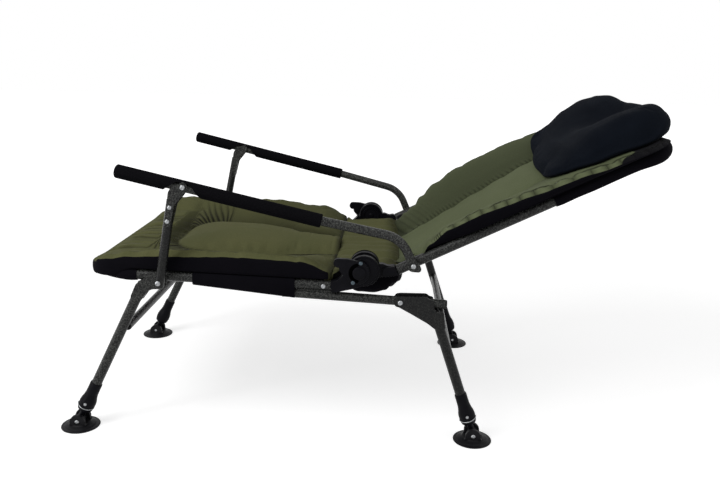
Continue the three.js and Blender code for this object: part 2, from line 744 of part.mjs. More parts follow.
for (const [place, end] of Object.entries(legEnds)) {
  const legLength = Math.hypot(end.top.y - end.foot.y, end.top.z - end.foot.z);
  const bar = crossRod(end.bar, -legPlane, legPlane, crossbarRadius);
  addPart(`${place}_crossbar`, cut(
    bar,
    ...sides.map(([, side]) => legBore(end, side, tubeMouth, legLength, legTubeRadius + touchGap)),
  ), steel);

  for (const [label, side] of sides) {
    const along = legDirection(end);
    const start = legStart(end, side);
    const tube = legRod(end, side, tubeMouth + touchGap, legLength, legTubeRadius);
    const cheeks = [1, -1].map((hand) => plate(
      end.cheek, side * legPlane + hand * cheekInnerOffset,
      side * legPlane + hand * (cheekInnerOffset + cheekThickness),
    ));
    const webReach = cheekInnerOffset + cheekThickness / 2;
    const web = plate(end.web, side * legPlane - webReach, side * legPlane + webReach);
    const slideBore = legBore(end, side, 0, slideBoreTop, slideBoreRadius);
    const pivotBore = crossBore(
      end.pivot, side * legPlane - cheekInnerOffset * 2, side * legPlane + cheekInnerOffset * 2,
      pivotShankRadius + runningGap,
    );
    addPart(`${label}_${place}_leg`, cut(
      fuse(tube, cheeks[0], cheeks[1], web), slideBore, pivotBore,
    ), steel);

    const collar = turned([
      [0, collarFoot], [collarMouthRadius, collarFoot], [collarBellyRadius, collarBellyFoot],
      [collarBellyRadius, collarBellyTop], [collarWaistRadius, collarWaist],
      [collarTopRadius, collarTop], [0, collarTop],
    ], start, along);
    const buttonCentre = legPoint(end, side, buttonHeight);
    const buttonHole = crossBore(
      buttonCentre, side * legPlane + side * slideRadius, side * legPlane + side * buttonFace,
      buttonRadius + runningGap,
    );
    addPart(`${label}_${place}_leg_collar`, cut(
      collar,
      legBore(end, side, 0, collarTop + collarFoot, slideBoreRadius),
      legBore(end, side, tubeMouth, collarTop + collarFoot, legTubeRadius + touchGap),
      buttonHole,
    ), plastic);
    addPart(`${label}_${place}_lock_button`, crossRod(
      buttonCentre, side * (legPlane + buttonSeat), side * (legPlane + buttonFace), buttonRadius,
    ), zinc);

    const knuckle = crossRod(
      end.foot, side * legPlane - knuckleHalfWidth, side * legPlane + knuckleHalfWidth, knuckleRadius,
      turnedSides,
    );
    addPart(`${label}_${place}_lower_leg`, cut(
      fuse(
        legRod(end, side, 0, slideFoot, neckRadius),
        legRod(end, side, slideFoot, slideTop, slideRadius),
        knuckle,
      ),
      crossBore(end.foot, side * legPlane - knuckleRadius * 2, side * legPlane + knuckleRadius * 2,
        footPinRadius + runningGap),
    ), plastic);

    const floor = new THREE.Vector3(side * legPlane, end.foot.y, 0);
    const upward = new THREE.Vector3(0, 0, 1);
    const disc = turned([
      [0, 0], [discRadius, 0], [discRadius, rimThickness], [domeShoulderRadius, domeShoulderHeight],
      [0, domeShoulderHeight],
    ], floor, upward, turnedSides + 4);
    const ears = turned([
      [0, rimThickness], [earRadius, rimThickness], [earRadius, footPinHeight],
      [earCrownRadius, earTop], [0, earTop],
    ], floor, upward);
    const slot = plate([
      [end.foot.y - discRadius, earSlotFloor + rimThickness],
      [end.foot.y + discRadius, earSlotFloor + rimThickness],
      [end.foot.y + discRadius, earTop * 2], [end.foot.y - discRadius, earTop * 2],
    ], side * legPlane - earSlotHalfWidth, side * legPlane + earSlotHalfWidth);
    const floorSlot = crossBore(
      end.foot, side * legPlane - earSlotHalfWidth, side * legPlane + earSlotHalfWidth,
      knuckleRadius + touchGap * 2, turnedSides,
    );
    const pin = crossRod(end.foot, side * legPlane - earRadius, side * legPlane + earRadius, footPinRadius);
    addPart(`${label}_${place}_foot`, fuse(cut(fuse(disc, ears), slot, floorSlot), pin), plastic);
  }
}

for (const [label, side] of sides) {
  const postOuter = postFoot.x + postRadius;
  addPart(`${label}_front_bolt`, crossBolt(
    frontPivot, side, legPlane - cheekInnerOffset - cheekThickness, postOuter + touchGap * 3,
    pivotShankRadius, boltHeadRadius, boltHeadDepth,
  ), zinc);
  addPart(`${label}_rear_bolt`, crossBolt(
    rearPivot, side, legPlane - cheekInnerOffset - cheekThickness,
    legPlane + cheekInnerOffset + cheekThickness + touchGap,
    pivotShankRadius, boltHeadRadius, boltHeadDepth,
  ), zinc);
}

// Seat sling
const frontSleeveLoop = (reach) => [
  seatPoint(seatHalfWidth, sleeveBack + reach), seatPoint(seatHalfWidth, seatTubeNose.y),
  seatPoint(-seatHalfWidth, seatTubeNose.y), seatPoint(-seatHalfWidth, sleeveBack + reach),
];
const seatPanel = plate([
  [seatTubeNose.y, seatHeight(seatTubeNose.y) + slingUnderside],
  [slingRear, seatHeight(slingRear) + slingUnderside],
  [slingRear, seatHeight(slingRear) + slingUnderside + slingThickness],
  [seatTubeNose.y, seatHeight(seatTubeNose.y) + slingUnderside + slingThickness],
], -slingHalfWidth, slingHalfWidth);
const seatWraps = sides.map(([, side]) => plate([
  [wrapFront, seatHeight(wrapFront) - wrapFrontDrop + touchGap],
  [wrapRear, seatHeight(wrapRear) - wrapRearDrop],
  [wrapRear, seatHeight(wrapRear) + wrapTop], [wrapFront, seatHeight(wrapFront) + wrapTop],
], side * (slingHalfWidth - slingThickness), side * wrapOuter));
const wrapBores = sides.flatMap(([, side]) => [
  bore(
    seatPoint(side * seatHalfWidth, wrapFront - sleeveRadius),
    seatPoint(side * seatHalfWidth, wrapRear + sleeveRadius),
    sleeveBoreRadius, tubeSides,
  ),
  bore(
    new THREE.Vector3(side * seatHalfWidth, railStart.y - touchGap, railHeight(railStart.y - touchGap)),
    new THREE.Vector3(side * seatHalfWidth, railEnd.y, railEnd.z),
    railRadius + touchGap, tubeSides,
  ),
]);
addPart("seat_sling", cut(
  fuse(pipe(frontSleeveLoop(0), sleeveRadius, seatNoseBendRadius), seatPanel, ...seatWraps),
  pipe(frontSleeveLoop(sleeveRadius), sleeveBoreRadius, seatNoseBendRadius),
  ...wrapBores,
), webbing);

// Padding
function interpolate(places, values, at) {
  const last = places.length - 1;
  const inside = Math.min(Math.max(at, places[0]), places[last]);
  const index = Math.min(Math.max(places.findIndex((place) => place >= inside), 1), last);
  return THREE.MathUtils.lerp(
    values[index - 1], values[index],
    THREE.MathUtils.smoothstep(inside, places[index - 1], places[index]),
  );
}

// The rear corners of a soft form may be tighter than its front ones.
const cornerAt = (shape, along) => (
  along > (shape.front + shape.rear) / 2 ? shape.rearCornerRadius ?? shape.cornerRadius : shape.cornerRadius
);

// Signed distance inside a rectangle with rounded corners; positive inside.
function roundedDepth(x, along, halfWidth, from, to, radius) {
  const middle = (from + to) / 2;
  const overX = Math.abs(x) - (halfWidth - radius);
  const overAlong = Math.abs(along - middle) - ((to - from) / 2 - radius);
  const outside = Math.hypot(Math.max(overX, 0), Math.max(overAlong, 0));
  return radius - outside - Math.min(Math.max(overX, overAlong), 0);
}

// Share of a quarter circle's height at a depth inside the rim.
function roundedShare(depth, radius) {
  const short = 1 - Math.min(Math.max(depth, 0) / radius, 1);
  return Math.sqrt(1 - short * short);
}

// A padded top: a sewn line round a crowned middle panel and a fuller rim outside it.
function padTop(pad, peak, welt, x, along) {
  const seamDepth = roundedDepth(
    x, along, pad.seamHalfWidth, pad.seamFront, pad.seamRear, pad.seamCornerRadius,
  );
  if (seamDepth > 0) {
    return pad.seamHeight + pad.crown * (1 - Math.exp(-seamDepth / pad.crownReach));
  }
  const edgeDepth = roundedDepth(x, along, pad.halfWidth, pad.front, pad.rear, cornerAt(pad, along));
  const share = -seamDepth / (Math.max(edgeDepth, 0) - seamDepth);
  if (share < padPeakShare) {
    const rise = 1 - (1 - share / padPeakShare) ** 1.2;
    return pad.seamHeight + (peak - pad.seamHeight) * rise;
  }
  const fall = (share - padPeakShare) / (1 - padPeakShare);
  return peak - (peak - welt) * fall * fall;
}

// Between its tubes the lower back hangs down like a hammock.
function backSag(x, along) {
  const slack = 1 - THREE.MathUtils.smoothstep(Math.abs(x), sagFlatHalfWidth, sagFlatHalfWidth + sagBlend);
  return interpolate(sagPlaces, sagDepths, along) * slack;
}

// A closed body over a grid in a rounded rectangle: top and underside meet along the rim.
function quilt(shape, columns, rows, topOf, undersideOf, placeOf) {
  const grid = [];
  const middle = (shape.front + shape.rear) / 2;
  const halfLength = (shape.rear - shape.front) / 2;
  const spread = (share) => Math.sin(share * Math.PI / 2) * 0.6 + share * 0.4;
  for (let row = 0; row <= rows; row += 1) {
    for (let column = 0; column <= columns; column += 1) {
      const acrossShare = spread(column / columns * 2 - 1);
      const alongShare = spread(row / rows * 2 - 1);
      let x = acrossShare * shape.halfWidth;
      let offset = alongShare * halfLength;
      const radius = cornerAt(shape, middle + offset);
      const overX = Math.abs(x) - (shape.halfWidth - radius);
      const overAlong = Math.abs(offset) - (halfLength - radius);
      if (overX > 0 && overAlong > 0) {
        const scale = Math.max(overX, overAlong) / Math.hypot(overX, overAlong);
        x = Math.sign(x) * (shape.halfWidth - radius + overX * scale);
        offset = Math.sign(offset) * (halfLength - radius + overAlong * scale);
      }
      grid.push([x, middle + offset]);
    }
  }
  const positions = [];
  const underIndex = [];
  const width = columns + 1;
  const onRim = (index) => {
    const row = Math.floor(index / width);
    const column = index % width;
    return row === 0 || row === rows || column === 0 || column === columns;
  };
  for (const [x, along] of grid) {
    positions.push(...placeOf(x, along, topOf(x, along)).toArray());
  }
  grid.forEach(([x, along], index) => {
    if (onRim(index)) {
      underIndex.push(index);
      return;
    }
    underIndex.push(positions.length / 3);
    positions.push(...placeOf(x, along, undersideOf(x, along)).toArray());
  });
  const faces = [];
  for (let row = 0; row < rows; row += 1) {
    for (let column = 0; column < columns; column += 1) {
      const near = row * width + column;
      const corners = [near, near + 1, near + 1 + width, near + width];
      const even = (row < rows / 2) === (column < columns / 2);
      const order = even ? [0, 1, 2, 0, 2, 3] : [1, 2, 3, 1, 3, 0];
      faces.push(...order.map((slot) => corners[slot]));
      faces.push(...order.map((slot) => underIndex[corners[slot]]).reverse());
    }
  }
  const geometry = new THREE.BufferGeometry();
  geometry.setAttribute("position", new THREE.BufferAttribute(new Float32Array(positions), 3));
  geometry.setIndex(faces);
  geometry.computeVertexNormals();
  return geometry;
}

// Back sling
const backSleeveLoop = (reach) => [
  backPoint(backHalfWidth, backSleeveFoot - reach, 0), backPoint(backHalfWidth, backLength, 0),
  backPoint(-backHalfWidth, backLength, 0), backPoint(-backHalfWidth, backSleeveFoot - reach, 0),
];
const backPanelShape = {
  halfWidth: backSlingHalfWidth, cornerRadius: slingThickness, front: backSlingFoot, rear: backLength,
};
const backPanel = quilt(
  backPanelShape, 14, 16,
  (x, along) => slingUnderside + slingThickness - backSag(x, along),
  (x, along) => slingUnderside - backSag(x, along),
  backPoint,
);
addPart("back_sling", cut(
  fuse(pipe(backSleeveLoop(0), sleeveRadius, backHeadBendRadius), backPanel),
  pipe(backSleeveLoop(sleeveRadius), sleeveBoreRadius, backHeadBendRadius),
), webbing);

// Cushions
function seatTop(x, y) {
  const [sidePeak, sideWelt, middlePeak, middleWelt] = [
    seatPeakHeights, seatWeltHeights, seatMiddlePeaks, seatMiddleWelts,
  ].map((heights) => interpolate(seatPlaces, heights, y));
  const side = padTop(seatPad, sidePeak, sideWelt, x, y);
  const middle = padTop(seatPad, middlePeak, middleWelt, x, y);
  const outward = THREE.MathUtils.smoothstep(
    Math.abs(x), seatMiddleHalfWidth, seatMiddleHalfWidth + seatSideBlend,
  );
  return THREE.MathUtils.lerp(middle, side, outward);
}
addPart("seat_cushion", quilt(
  seatPad, 20, 18, seatTop, () => cushionUnderside,
  (x, y, above) => new THREE.Vector3(x, y, seatHeight(y) + above),
), olive);

function backTop(x, along) {
  const peak = interpolate(backPlaces, backPeakHeights, along);
  const welt = interpolate(backPlaces, backWeltHeights, along);
  return padTop(backPad, peak, welt, x, along) - backSag(x, along);
}
const backCushionPoint = (x, along, above) => backPoint(
  x * interpolate(backTaperPlaces, backTaperShares, along), along, above,
);
addPart("back_cushion", quilt(
  backPad, 18, 20, backTop, (x, along) => cushionUnderside - backSag(x, along), backCushionPoint,
), olive);

const pillowShape = { ...pillow, front: pillow.foot, rear: pillow.head };
function pillowRim(x, along) {
  const rest = backTop(x, Math.min(along, backPad.rear));
  return along > pillow.overhangStart ? Math.max(rest, pillow.overhangRim - pillow.lift) : rest;
}
function pillowTop(x, along) {
  const depth = roundedDepth(x, along, pillow.halfWidth, pillow.foot, pillow.head, pillow.cornerRadius);
  const rim = pillowRim(x, along) + pillow.lift;
  const lengthwise = Math.min(Math.max((along - pillowDipStart) / pillowDipReach, 0), 1);
  const dip = pillowDipShare * Math.exp(-((x / pillowDipHalfWidth) ** 2)) * lengthwise;
  const crown = interpolate(pillowPlaces, pillowCrowns, along) * (1 - dip);
  const headShare = Math.min(Math.max((along - pillow.roundStart) / pillow.roundReach, 0), 1);
  const roundness = THREE.MathUtils.lerp(pillow.footRoundness, pillow.headRoundness, headShare);
  return Math.max(rim, rim + (crown - rim) * roundedShare(depth, roundness));
}
addPart("head_pillow", quilt(
  pillowShape, 14, 12, pillowTop, (x, along) => pillowRim(x, along) + pillow.clearance, backPoint,
), fleece);

// Lumbar pad: its rear edge lies along the foot of the back cushion.
function lumbarPoint(x, along, above) {
  const footX = x / lumbar.halfWidth * backPad.halfWidth;
  const rear = backCushionPoint(footX, backPad.front, backTop(footX, backPad.front));
  const share = (along - lumbar.front) / (lumbar.rear - lumbar.front);
  const front = lumbarFrontHeight + lumbarFrontRise * (x / lumbar.halfWidth) ** 2;
  return new THREE.Vector3(
    x,
    THREE.MathUtils.lerp(lumbar.front, rear.y - touchGap * 2, share),
    THREE.MathUtils.lerp(front, rear.z, share) + above,
  );
}
const lumbarFullness = (x, along) => roundedShare(
  roundedDepth(x, along, lumbar.halfWidth, lumbar.front, lumbar.rear, lumbar.cornerRadius), lumbarRoundness,
);
addPart("lumbar_pad", quilt(
  lumbar, 16, 12, (x, along) => lumbarPuff * lumbarFullness(x, along),
  (x, along) => -lumbarBelly * lumbarFullness(x, along), lumbarPoint,
), olive);

const bounds = new THREE.Box3().setFromObject(chair);
frame.position.set(0, -(bounds.min.y + bounds.max.y) / 2, -bounds.min.z);
chair.updateMatrixWorld(true);

export default chair;
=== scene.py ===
import math
import bpy
import numpy as np
from mathutils import Matrix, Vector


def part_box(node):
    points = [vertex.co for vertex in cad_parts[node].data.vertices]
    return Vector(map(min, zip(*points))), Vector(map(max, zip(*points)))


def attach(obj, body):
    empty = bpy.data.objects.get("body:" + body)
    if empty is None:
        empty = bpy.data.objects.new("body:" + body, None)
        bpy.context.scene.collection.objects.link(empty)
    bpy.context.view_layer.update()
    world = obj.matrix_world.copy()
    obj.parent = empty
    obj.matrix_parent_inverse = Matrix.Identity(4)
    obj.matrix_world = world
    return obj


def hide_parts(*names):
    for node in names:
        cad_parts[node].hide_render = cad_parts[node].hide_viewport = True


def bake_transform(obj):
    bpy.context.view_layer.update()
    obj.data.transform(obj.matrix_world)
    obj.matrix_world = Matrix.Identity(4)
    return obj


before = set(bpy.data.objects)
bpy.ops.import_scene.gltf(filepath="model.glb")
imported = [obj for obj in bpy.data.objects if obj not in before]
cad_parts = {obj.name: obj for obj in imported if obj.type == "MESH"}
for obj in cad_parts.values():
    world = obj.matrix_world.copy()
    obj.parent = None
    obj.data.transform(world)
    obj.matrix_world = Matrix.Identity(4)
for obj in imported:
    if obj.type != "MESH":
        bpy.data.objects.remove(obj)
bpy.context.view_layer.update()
lowFoot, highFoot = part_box("left_front_foot")
yShift = (lowFoot.y + highFoot.y) / 2
handed = (("left", 1), ("right", -1))
print("frame loaded")


# Shape helpers. Every length is in millimetres, measured from the floor midway between the front feet.
def place(points):
    return np.asarray(points, float).reshape(-1, 3) / 1000 + np.array([0, yShift, 0])


def unit(v):
    v = np.asarray(v, float)
    return v / np.linalg.norm(v)


def meshOf(name, points, faces, sharpAngle=38):
    mesh = bpy.data.meshes.new(name)
    mesh.from_pydata(place(points).tolist(), [], [list(map(int, f)) for f in faces])
    mesh.validate()
    mesh.polygons.foreach_set("use_smooth", np.ones(len(mesh.polygons), bool))
    mesh.set_sharp_from_angle(angle=math.radians(sharpAngle))
    obj = bpy.data.objects.new(name, mesh)
    bpy.context.scene.collection.objects.link(obj)
    return obj


def gridFaces(rows, columns, start=0):
    # Quads of a grid whose columns close on themselves.
    i, j = np.meshgrid(np.arange(rows - 1), np.arange(columns), indexing="ij")
    k = (j + 1) % columns
    quads = np.stack([i * columns + j, i * columns + k, (i + 1) * columns + k, (i + 1) * columns + j], -1)
    return (quads.reshape(-1, 4) + start).tolist()


def ringsMesh(rings):
    # Points and faces of a closed body swept through rings, with a flat cap at each end.
    rings = np.asarray(rings, float)
    rows, columns = rings.shape[:2]
    faces = gridFaces(rows, columns)
    faces.append(list(reversed(range(columns))))
    faces.append(list(range((rows - 1) * columns, rows * columns)))
    return rings.reshape(-1, 3), faces


def joinParts(parts):
    points, faces, count = [], [], 0
    for partPoints, partFaces in parts:
        points.append(np.asarray(partPoints, float))
        faces += [[v + count for v in f] for f in partFaces]
        count += len(partPoints)
    return np.concatenate(points), faces


def bentLine(corners, bend, spacing=40, steps=10):
    # A line through corners whose turns are arcs of radius bend: centre plus radius times cosine and sine.
    corners = [np.asarray(c, float) for c in corners]
    line = [corners[0]]
    for before, here, after in zip(corners, corners[1:], corners[2:]):
        a, b = unit(here - before), unit(after - here)
        turn = math.acos(np.clip(a @ b, -1, 1))
        if turn < 1e-4:
            continue
        start = here - a * bend * math.tan(turn / 2)
        inward = np.cross(unit(np.cross(a, b)), a)
        for t in np.linspace(0, turn, steps):
            line.append(start + inward * bend * (1 - math.cos(t)) + a * bend * math.sin(t))
    line.append(corners[-1])
    dense = [line[0]]
    for p, q in zip(line, line[1:]):
        count = max(1, int(np.linalg.norm(q - p) // spacing))
        dense += [p + (q - p) * t for t in np.linspace(0, 1, count + 1)[1:]]
    return np.array(dense)


def circleOf(side, over, sides):
    # A unit circle: side times the cosine plus over times the sine of the angle round it.
    angles = np.linspace(0, 2 * math.pi, sides, endpoint=False)
    return np.outer(np.cos(angles), side) + np.outer(np.sin(angles), over)


def sweepRings(line, radii, sides=28):
    # Circles of the given radii, square to the line, carried along it without twist.
    line = np.asarray(line, float)
    tangents = np.gradient(line, axis=0)
    tangents /= np.linalg.norm(tangents, axis=1)[:, None]
    side = unit(np.cross(tangents[0], [0.13, 0.02, 1.0]))
    rings = []
    for centre, along, radius in zip(line, tangents, radii):
        side = unit(side - along * (side @ along))
        rings.append(centre + circleOf(side, np.cross(along, side), sides) * radius)
    return np.array(rings)


def tubePart(corners, radius, bend=0, edge=0.7, sides=28):
    # A round bar whose ends have a small chamfer.
    line = bentLine(corners, bend)
    a, b = unit(line[1] - line[0]), unit(line[-1] - line[-2])
    line = np.concatenate([[line[0]], [line[0] + a * edge], line[1:-1], [line[-1] - b * edge], [line[-1]]])
    radii = np.full(len(line), float(radius))
    radii[[0, -1]] -= edge
    return ringsMesh(sweepRings(line, radii, sides))


def turnPart(profile, start, direction, sides=36):
    # A profile of (radius, distance) pairs turned about a line; it begins and ends near the line.
    start, direction = np.asarray(start, float), unit(direction)
    side = unit(np.cross(direction, [0.31, 0.17, 0.9]))
    circle = circleOf(side, np.cross(direction, side), sides)
    return ringsMesh([start + direction * s + circle * max(r, 0.05) for r, s in profile])


def platePart(outline, low, high):
    # A flat plate: its outline lies in the side view and its thickness runs across the chair.
    low, high = min(low, high), max(low, high)
    outline = np.asarray(outline, float)
    y, z = outline.T
    if np.sum(y * np.roll(z, -1) - np.roll(y, -1) * z) < 0:
        outline = outline[::-1]
    n = len(outline)
    points = [np.column_stack([np.full(n, x), outline]) for x in (low, high)]
    faces = [[i, (i + 1) % n, (i + 1) % n + n, i + n] for i in range(n)]
    return np.concatenate(points), faces + [list(reversed(range(n))), list(range(n, 2 * n))]


def roundCorners(outline, radius, steps=4):
    # Replaces each corner of an outline with a short arc: its end points and corner weighed by squares.
    outline = [np.asarray(p, float) for p in outline]
    smooth = []
    for before, here, after in zip(outline[-1:] + outline[:-1], outline, outline[1:] + outline[:1]):
        a, b = before - here, after - here
        reach = min(radius, np.linalg.norm(a) * 0.45, np.linalg.norm(b) * 0.45)
        p, q = here + unit(a) * reach, here + unit(b) * reach
        for t in np.linspace(0, 1, steps):
            smooth.append((1 - t) ** 2 * p + 2 * t * (1 - t) * here + t * t * q)
    return np.array(smooth)


def ringOutline(centre, radius, start, end, steps):
    # Points of an arc between two bearings in degrees.
    t = np.radians(np.linspace(start, end, steps))
    return [(centre[0] + radius * math.cos(a), centre[1] + radius * math.sin(a)) for a in t]


def addPart(name, part, body, material, nodes=(), bevel=0):
    # A rigid visible piece, with its body, its material slot and the frame nodes it stands for.
    obj = meshOf(name, *part)
    obj.data.materials.append(material)
    if bevel:
        rounded = obj.modifiers.new("rounded", "BEVEL")
        rounded.width = bevel / 1000
        rounded.segments = 2
        rounded.limit_method = "ANGLE"
        rounded.angle_limit = math.radians(40)
        rounded.harden_normals = True
    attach(obj, body)
    if nodes:
        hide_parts(*nodes)
    return obj


# Materials. The scales of noises are repeats per metre, and bump distances are metres.
def feed(tree, node, inputs):
    # An input takes the output of another node, a number or a colour.
    for key, value in inputs.items():
        if isinstance(value, bpy.types.NodeSocket):
            tree.links.new(value, node.inputs[key])
        else:
            node.inputs[key].default_value = value if isinstance(value, (int, float)) else (*value, 1)


def addNode(tree, kind, inputs, **settings):
    node = tree.nodes.new("ShaderNode" + kind)
    for key, value in settings.items():
        setattr(node, key, value)
    feed(tree, node, inputs)
    return node


def nodeTree(name):
    material = bpy.data.materials.new(name)
    material.use_nodes = True
    tree = material.node_tree
    return material, tree, tree.nodes["Principled BSDF"], addNode(tree, "TexCoord", {}).outputs["Object"]


def noise(tree, vector, scale, detail=3, rough=0.55):
    inputs = {"Vector": vector, "Scale": scale, "Detail": detail, "Roughness": rough}
    return addNode(tree, "TexNoise", inputs).outputs["Fac"]


def ramp(tree, value, stops):
    node = addNode(tree, "ValToRGB", {"Fac": value})
    elements = node.color_ramp.elements
    while len(elements) < len(stops):
        elements.new(0.5)
    for element, (position, colour) in zip(elements, stops):
        element.position = position
        element.color = (*colour, 1)
    return node.outputs["Color"]


def grey(level):
    return (level, level, level)


def tinted(colour, share, lift=0.0):
    return tuple(c * share + lift for c in colour)


def mixColour(tree, share, first, second, kind="MIX"):
    inputs = {0: share, 6: first, 7: second}
    return addNode(tree, "Mix", inputs, data_type="RGBA", blend_type=kind).outputs[2]


def calculate(tree, kind, *values):
    return addNode(tree, "Math", dict(enumerate(values)), operation=kind).outputs[0]


def bumpOf(tree, height, strength, distance, base=None):
    inputs = {"Height": height, "Strength": strength, "Distance": distance}
    if base is not None:
        inputs["Normal"] = base
    return addNode(tree, "Bump", inputs).outputs["Normal"]


powderCoat = {"dark": (0.0030, 0.0032, 0.0036), "vein": (0.092, 0.095, 0.088), "cell": 560, "patch": 330,
              "shake": 300, "shift": 0.003, "roughness": 0.27, "specular": 0.16}


def hammertone(name, share):
    # A dark powder coat with pale veins between shaken cells; share sets how pale they are.
    material, tree, shader, spot = nodeTree(name)
    shake = addNode(tree, "TexNoise", {"Vector": spot, "Scale": powderCoat["shake"]}).outputs["Color"]
    inputs = {0: shake, "Scale": powderCoat["shift"]}
    shift = addNode(tree, "VectorMath", inputs, operation="SCALE").outputs[0]
    moved = addNode(tree, "VectorMath", {0: spot, 1: shift}, operation="ADD").outputs[0]
    inputs = {"Vector": moved, "Scale": powderCoat["cell"], "Randomness": 1}
    cells = addNode(tree, "TexVoronoi", inputs, feature="DISTANCE_TO_EDGE").outputs["Distance"]
    veins = ramp(tree, cells, [(0.0, grey(1)), (0.10, grey(0.6)), (0.24, grey(0))])
    patches = ramp(tree, noise(tree, spot, powderCoat["patch"], 2), [(0.40, grey(0.1)), (0.62, grey(1))])
    mask = mixColour(tree, 1.0, veins, patches, "MULTIPLY")
    colour = mixColour(tree, mask, powderCoat["dark"], tinted(powderCoat["vein"], share))
    feed(tree, shader, {"Base Color": colour, "Normal": bumpOf(tree, mask, 0.35, 0.0006),
                        "Roughness": powderCoat["roughness"], "Specular IOR Level": powderCoat["specular"]})
    return material


def gatherGroup():
    # Gathers drawn by point values: fold counts the folds and foldDepth is their depth; the third value is
    # painted shade, and a painted highlight where it is below zero.
    group = bpy.data.node_groups.new("gathers", "ShaderNodeTree")
    for name in ("Height", "Shade"):
        group.interface.new_socket(name, in_out="OUTPUT", socket_type="NodeSocketFloat")
    output = group.nodes.new("NodeGroupOutput")
    fold, depth, darken = (addNode(group, "Attribute", {}, attribute_name=name).outputs["Fac"]
                           for name in ("fold", "foldDepth", "darken"))
    # Each fold is a rounded ridge between two sharp creases, and painted shade darkens the creases.
    ridge = calculate(group, "POWER", calculate(group, "ABSOLUTE", calculate(group, "SINE", fold)), 0.7)
    crease = calculate(group, "MULTIPLY", calculate(group, "SUBTRACT", 1.0, ridge), depth)
    dark = calculate(group, "ADD", calculate(group, "MULTIPLY", crease, 0.85), darken)
    # Shade, which multiplies the cloth colour, is 1 less the painted crease shade and the painted shade
    # value.
    feed(group, output, {"Height": calculate(group, "MULTIPLY", ridge, depth),
                         "Shade": calculate(group, "SUBTRACT", 1.0, calculate(group, "MINIMUM", dark, 0.9))})
    return group


gathers = gatherGroup()
clothLook = {"threads": 900 / 6.3, "roughness": 0.9, "black": (0.0014, 0.0013, 0.0022)}


def weave(name, colour, shade, specular=0.12, gathered=False):
    # A fine crossed weave with slow shade drift and lint.
    material, tree, shader, spot = nodeTree(name)
    drift = ramp(tree, noise(tree, spot, 9, 4), [(0.3, grey(0)), (0.7, grey(1))])
    lint = ramp(tree, noise(tree, spot, 340, 3, 0.6), [(0.3, grey(0.25)), (0.7, grey(0.75))])
    tint = mixColour(tree, 0.16, mixColour(tree, drift, colour, shade), lint, "OVERLAY")
    threads = []
    for axis in ("X", "Y"):
        inputs = {"Vector": spot, "Scale": clothLook["threads"], "Distortion": 1.2, "Detail": 1}
        threads.append(addNode(tree, "TexWave", inputs, bands_direction=axis).outputs["Fac"])
    normal = bumpOf(tree, mixColour(tree, 0.5, *threads), 0.25, 0.0003)
    normal = bumpOf(tree, noise(tree, spot, 60, 3), 0.18, 0.002, normal)
    if gathered:
        gather = addNode(tree, "Group", {}, node_tree=gathers)
        normal = bumpOf(tree, gather.outputs["Height"], 1.0, 0.006, normal)
        # Painted shade and painted highlight from the point values multiply the cloth colour.
        tint = mixColour(tree, 1.0, tint, gather.outputs["Shade"], "MULTIPLY")
        # Past its zero line the point value hood turns the cloth black.
        hood = addNode(tree, "Attribute", {}, attribute_name="hood").outputs["Fac"]
        past = addNode(tree, "MapRange", {"Value": hood, "From Max": 0.7}).outputs["Result"]
        tint = mixColour(tree, past, tint, clothLook["black"])
    feed(tree, shader, {"Base Color": tint, "Normal": normal, "Roughness": clothLook["roughness"],
                        "Specular IOR Level": specular})
    return material


def grained(name, cloud, stops, bumps, inputs):
    # Its colour drifts with one noise, and finer noises lie over one another as bumps.
    material, tree, shader, spot = nodeTree(name)
    normal = None
    for grain, strength, distance in bumps:
        normal = bumpOf(tree, noise(tree, spot, *grain), strength, distance, normal)
    colour = ramp(tree, noise(tree, spot, *cloud), stops)
    feed(tree, shader, {"Base Color": colour, "Normal": normal, **inputs})
    return material


def moulded(name, colour, roughness, specular=0.06):
    # Moulded plastic, whose roughness drifts as well.
    stops = [(0.35, colour), (0.75, tinted(colour, 1.7, 0.0015))]
    material = grained(name, (35, 3), stops, [((700, 2), 0.12, 0.0004)], {"Specular IOR Level": specular})
    tree = material.node_tree
    spot = addNode(tree, "TexCoord", {}).outputs["Object"]
    stops = [(0.3, grey(roughness - 0.08)), (0.7, grey(roughness + 0.1))]
    feed(tree, tree.nodes["Principled BSDF"], {"Roughness": ramp(tree, noise(tree, spot, 80, 3), stops)})
    return material


def zincPlate(name, colour):
    return grained(name, (240, 3), [(0.3, tinted(colour, 0.7)), (0.7, colour)], [((900, 2), 0.1, 0.0003)],
                   {"Metallic": 1, "Roughness": 0.28})


steel = hammertone("hammertone_steel", 1)
# Lit and shaded copies of the same powder coat: the arms' copy has paler veins, painted light, and the copy
# for the rear legs, the post bars and the crossbars has darker veins, painted shade.
litArmSteel = hammertone("hammertone_arm_painted_light", 1.3)
shadedSteel = hammertone("hammertone_painted_shade", 0.32)
zinc = zincPlate("zinc_plate", (0.34, 0.35, 0.36))
dullZinc = zincPlate("dull_zinc", (0.075, 0.098, 0.115))
plastic = moulded("black_plastic", (0.0022, 0.0022, 0.0034), 0.42)
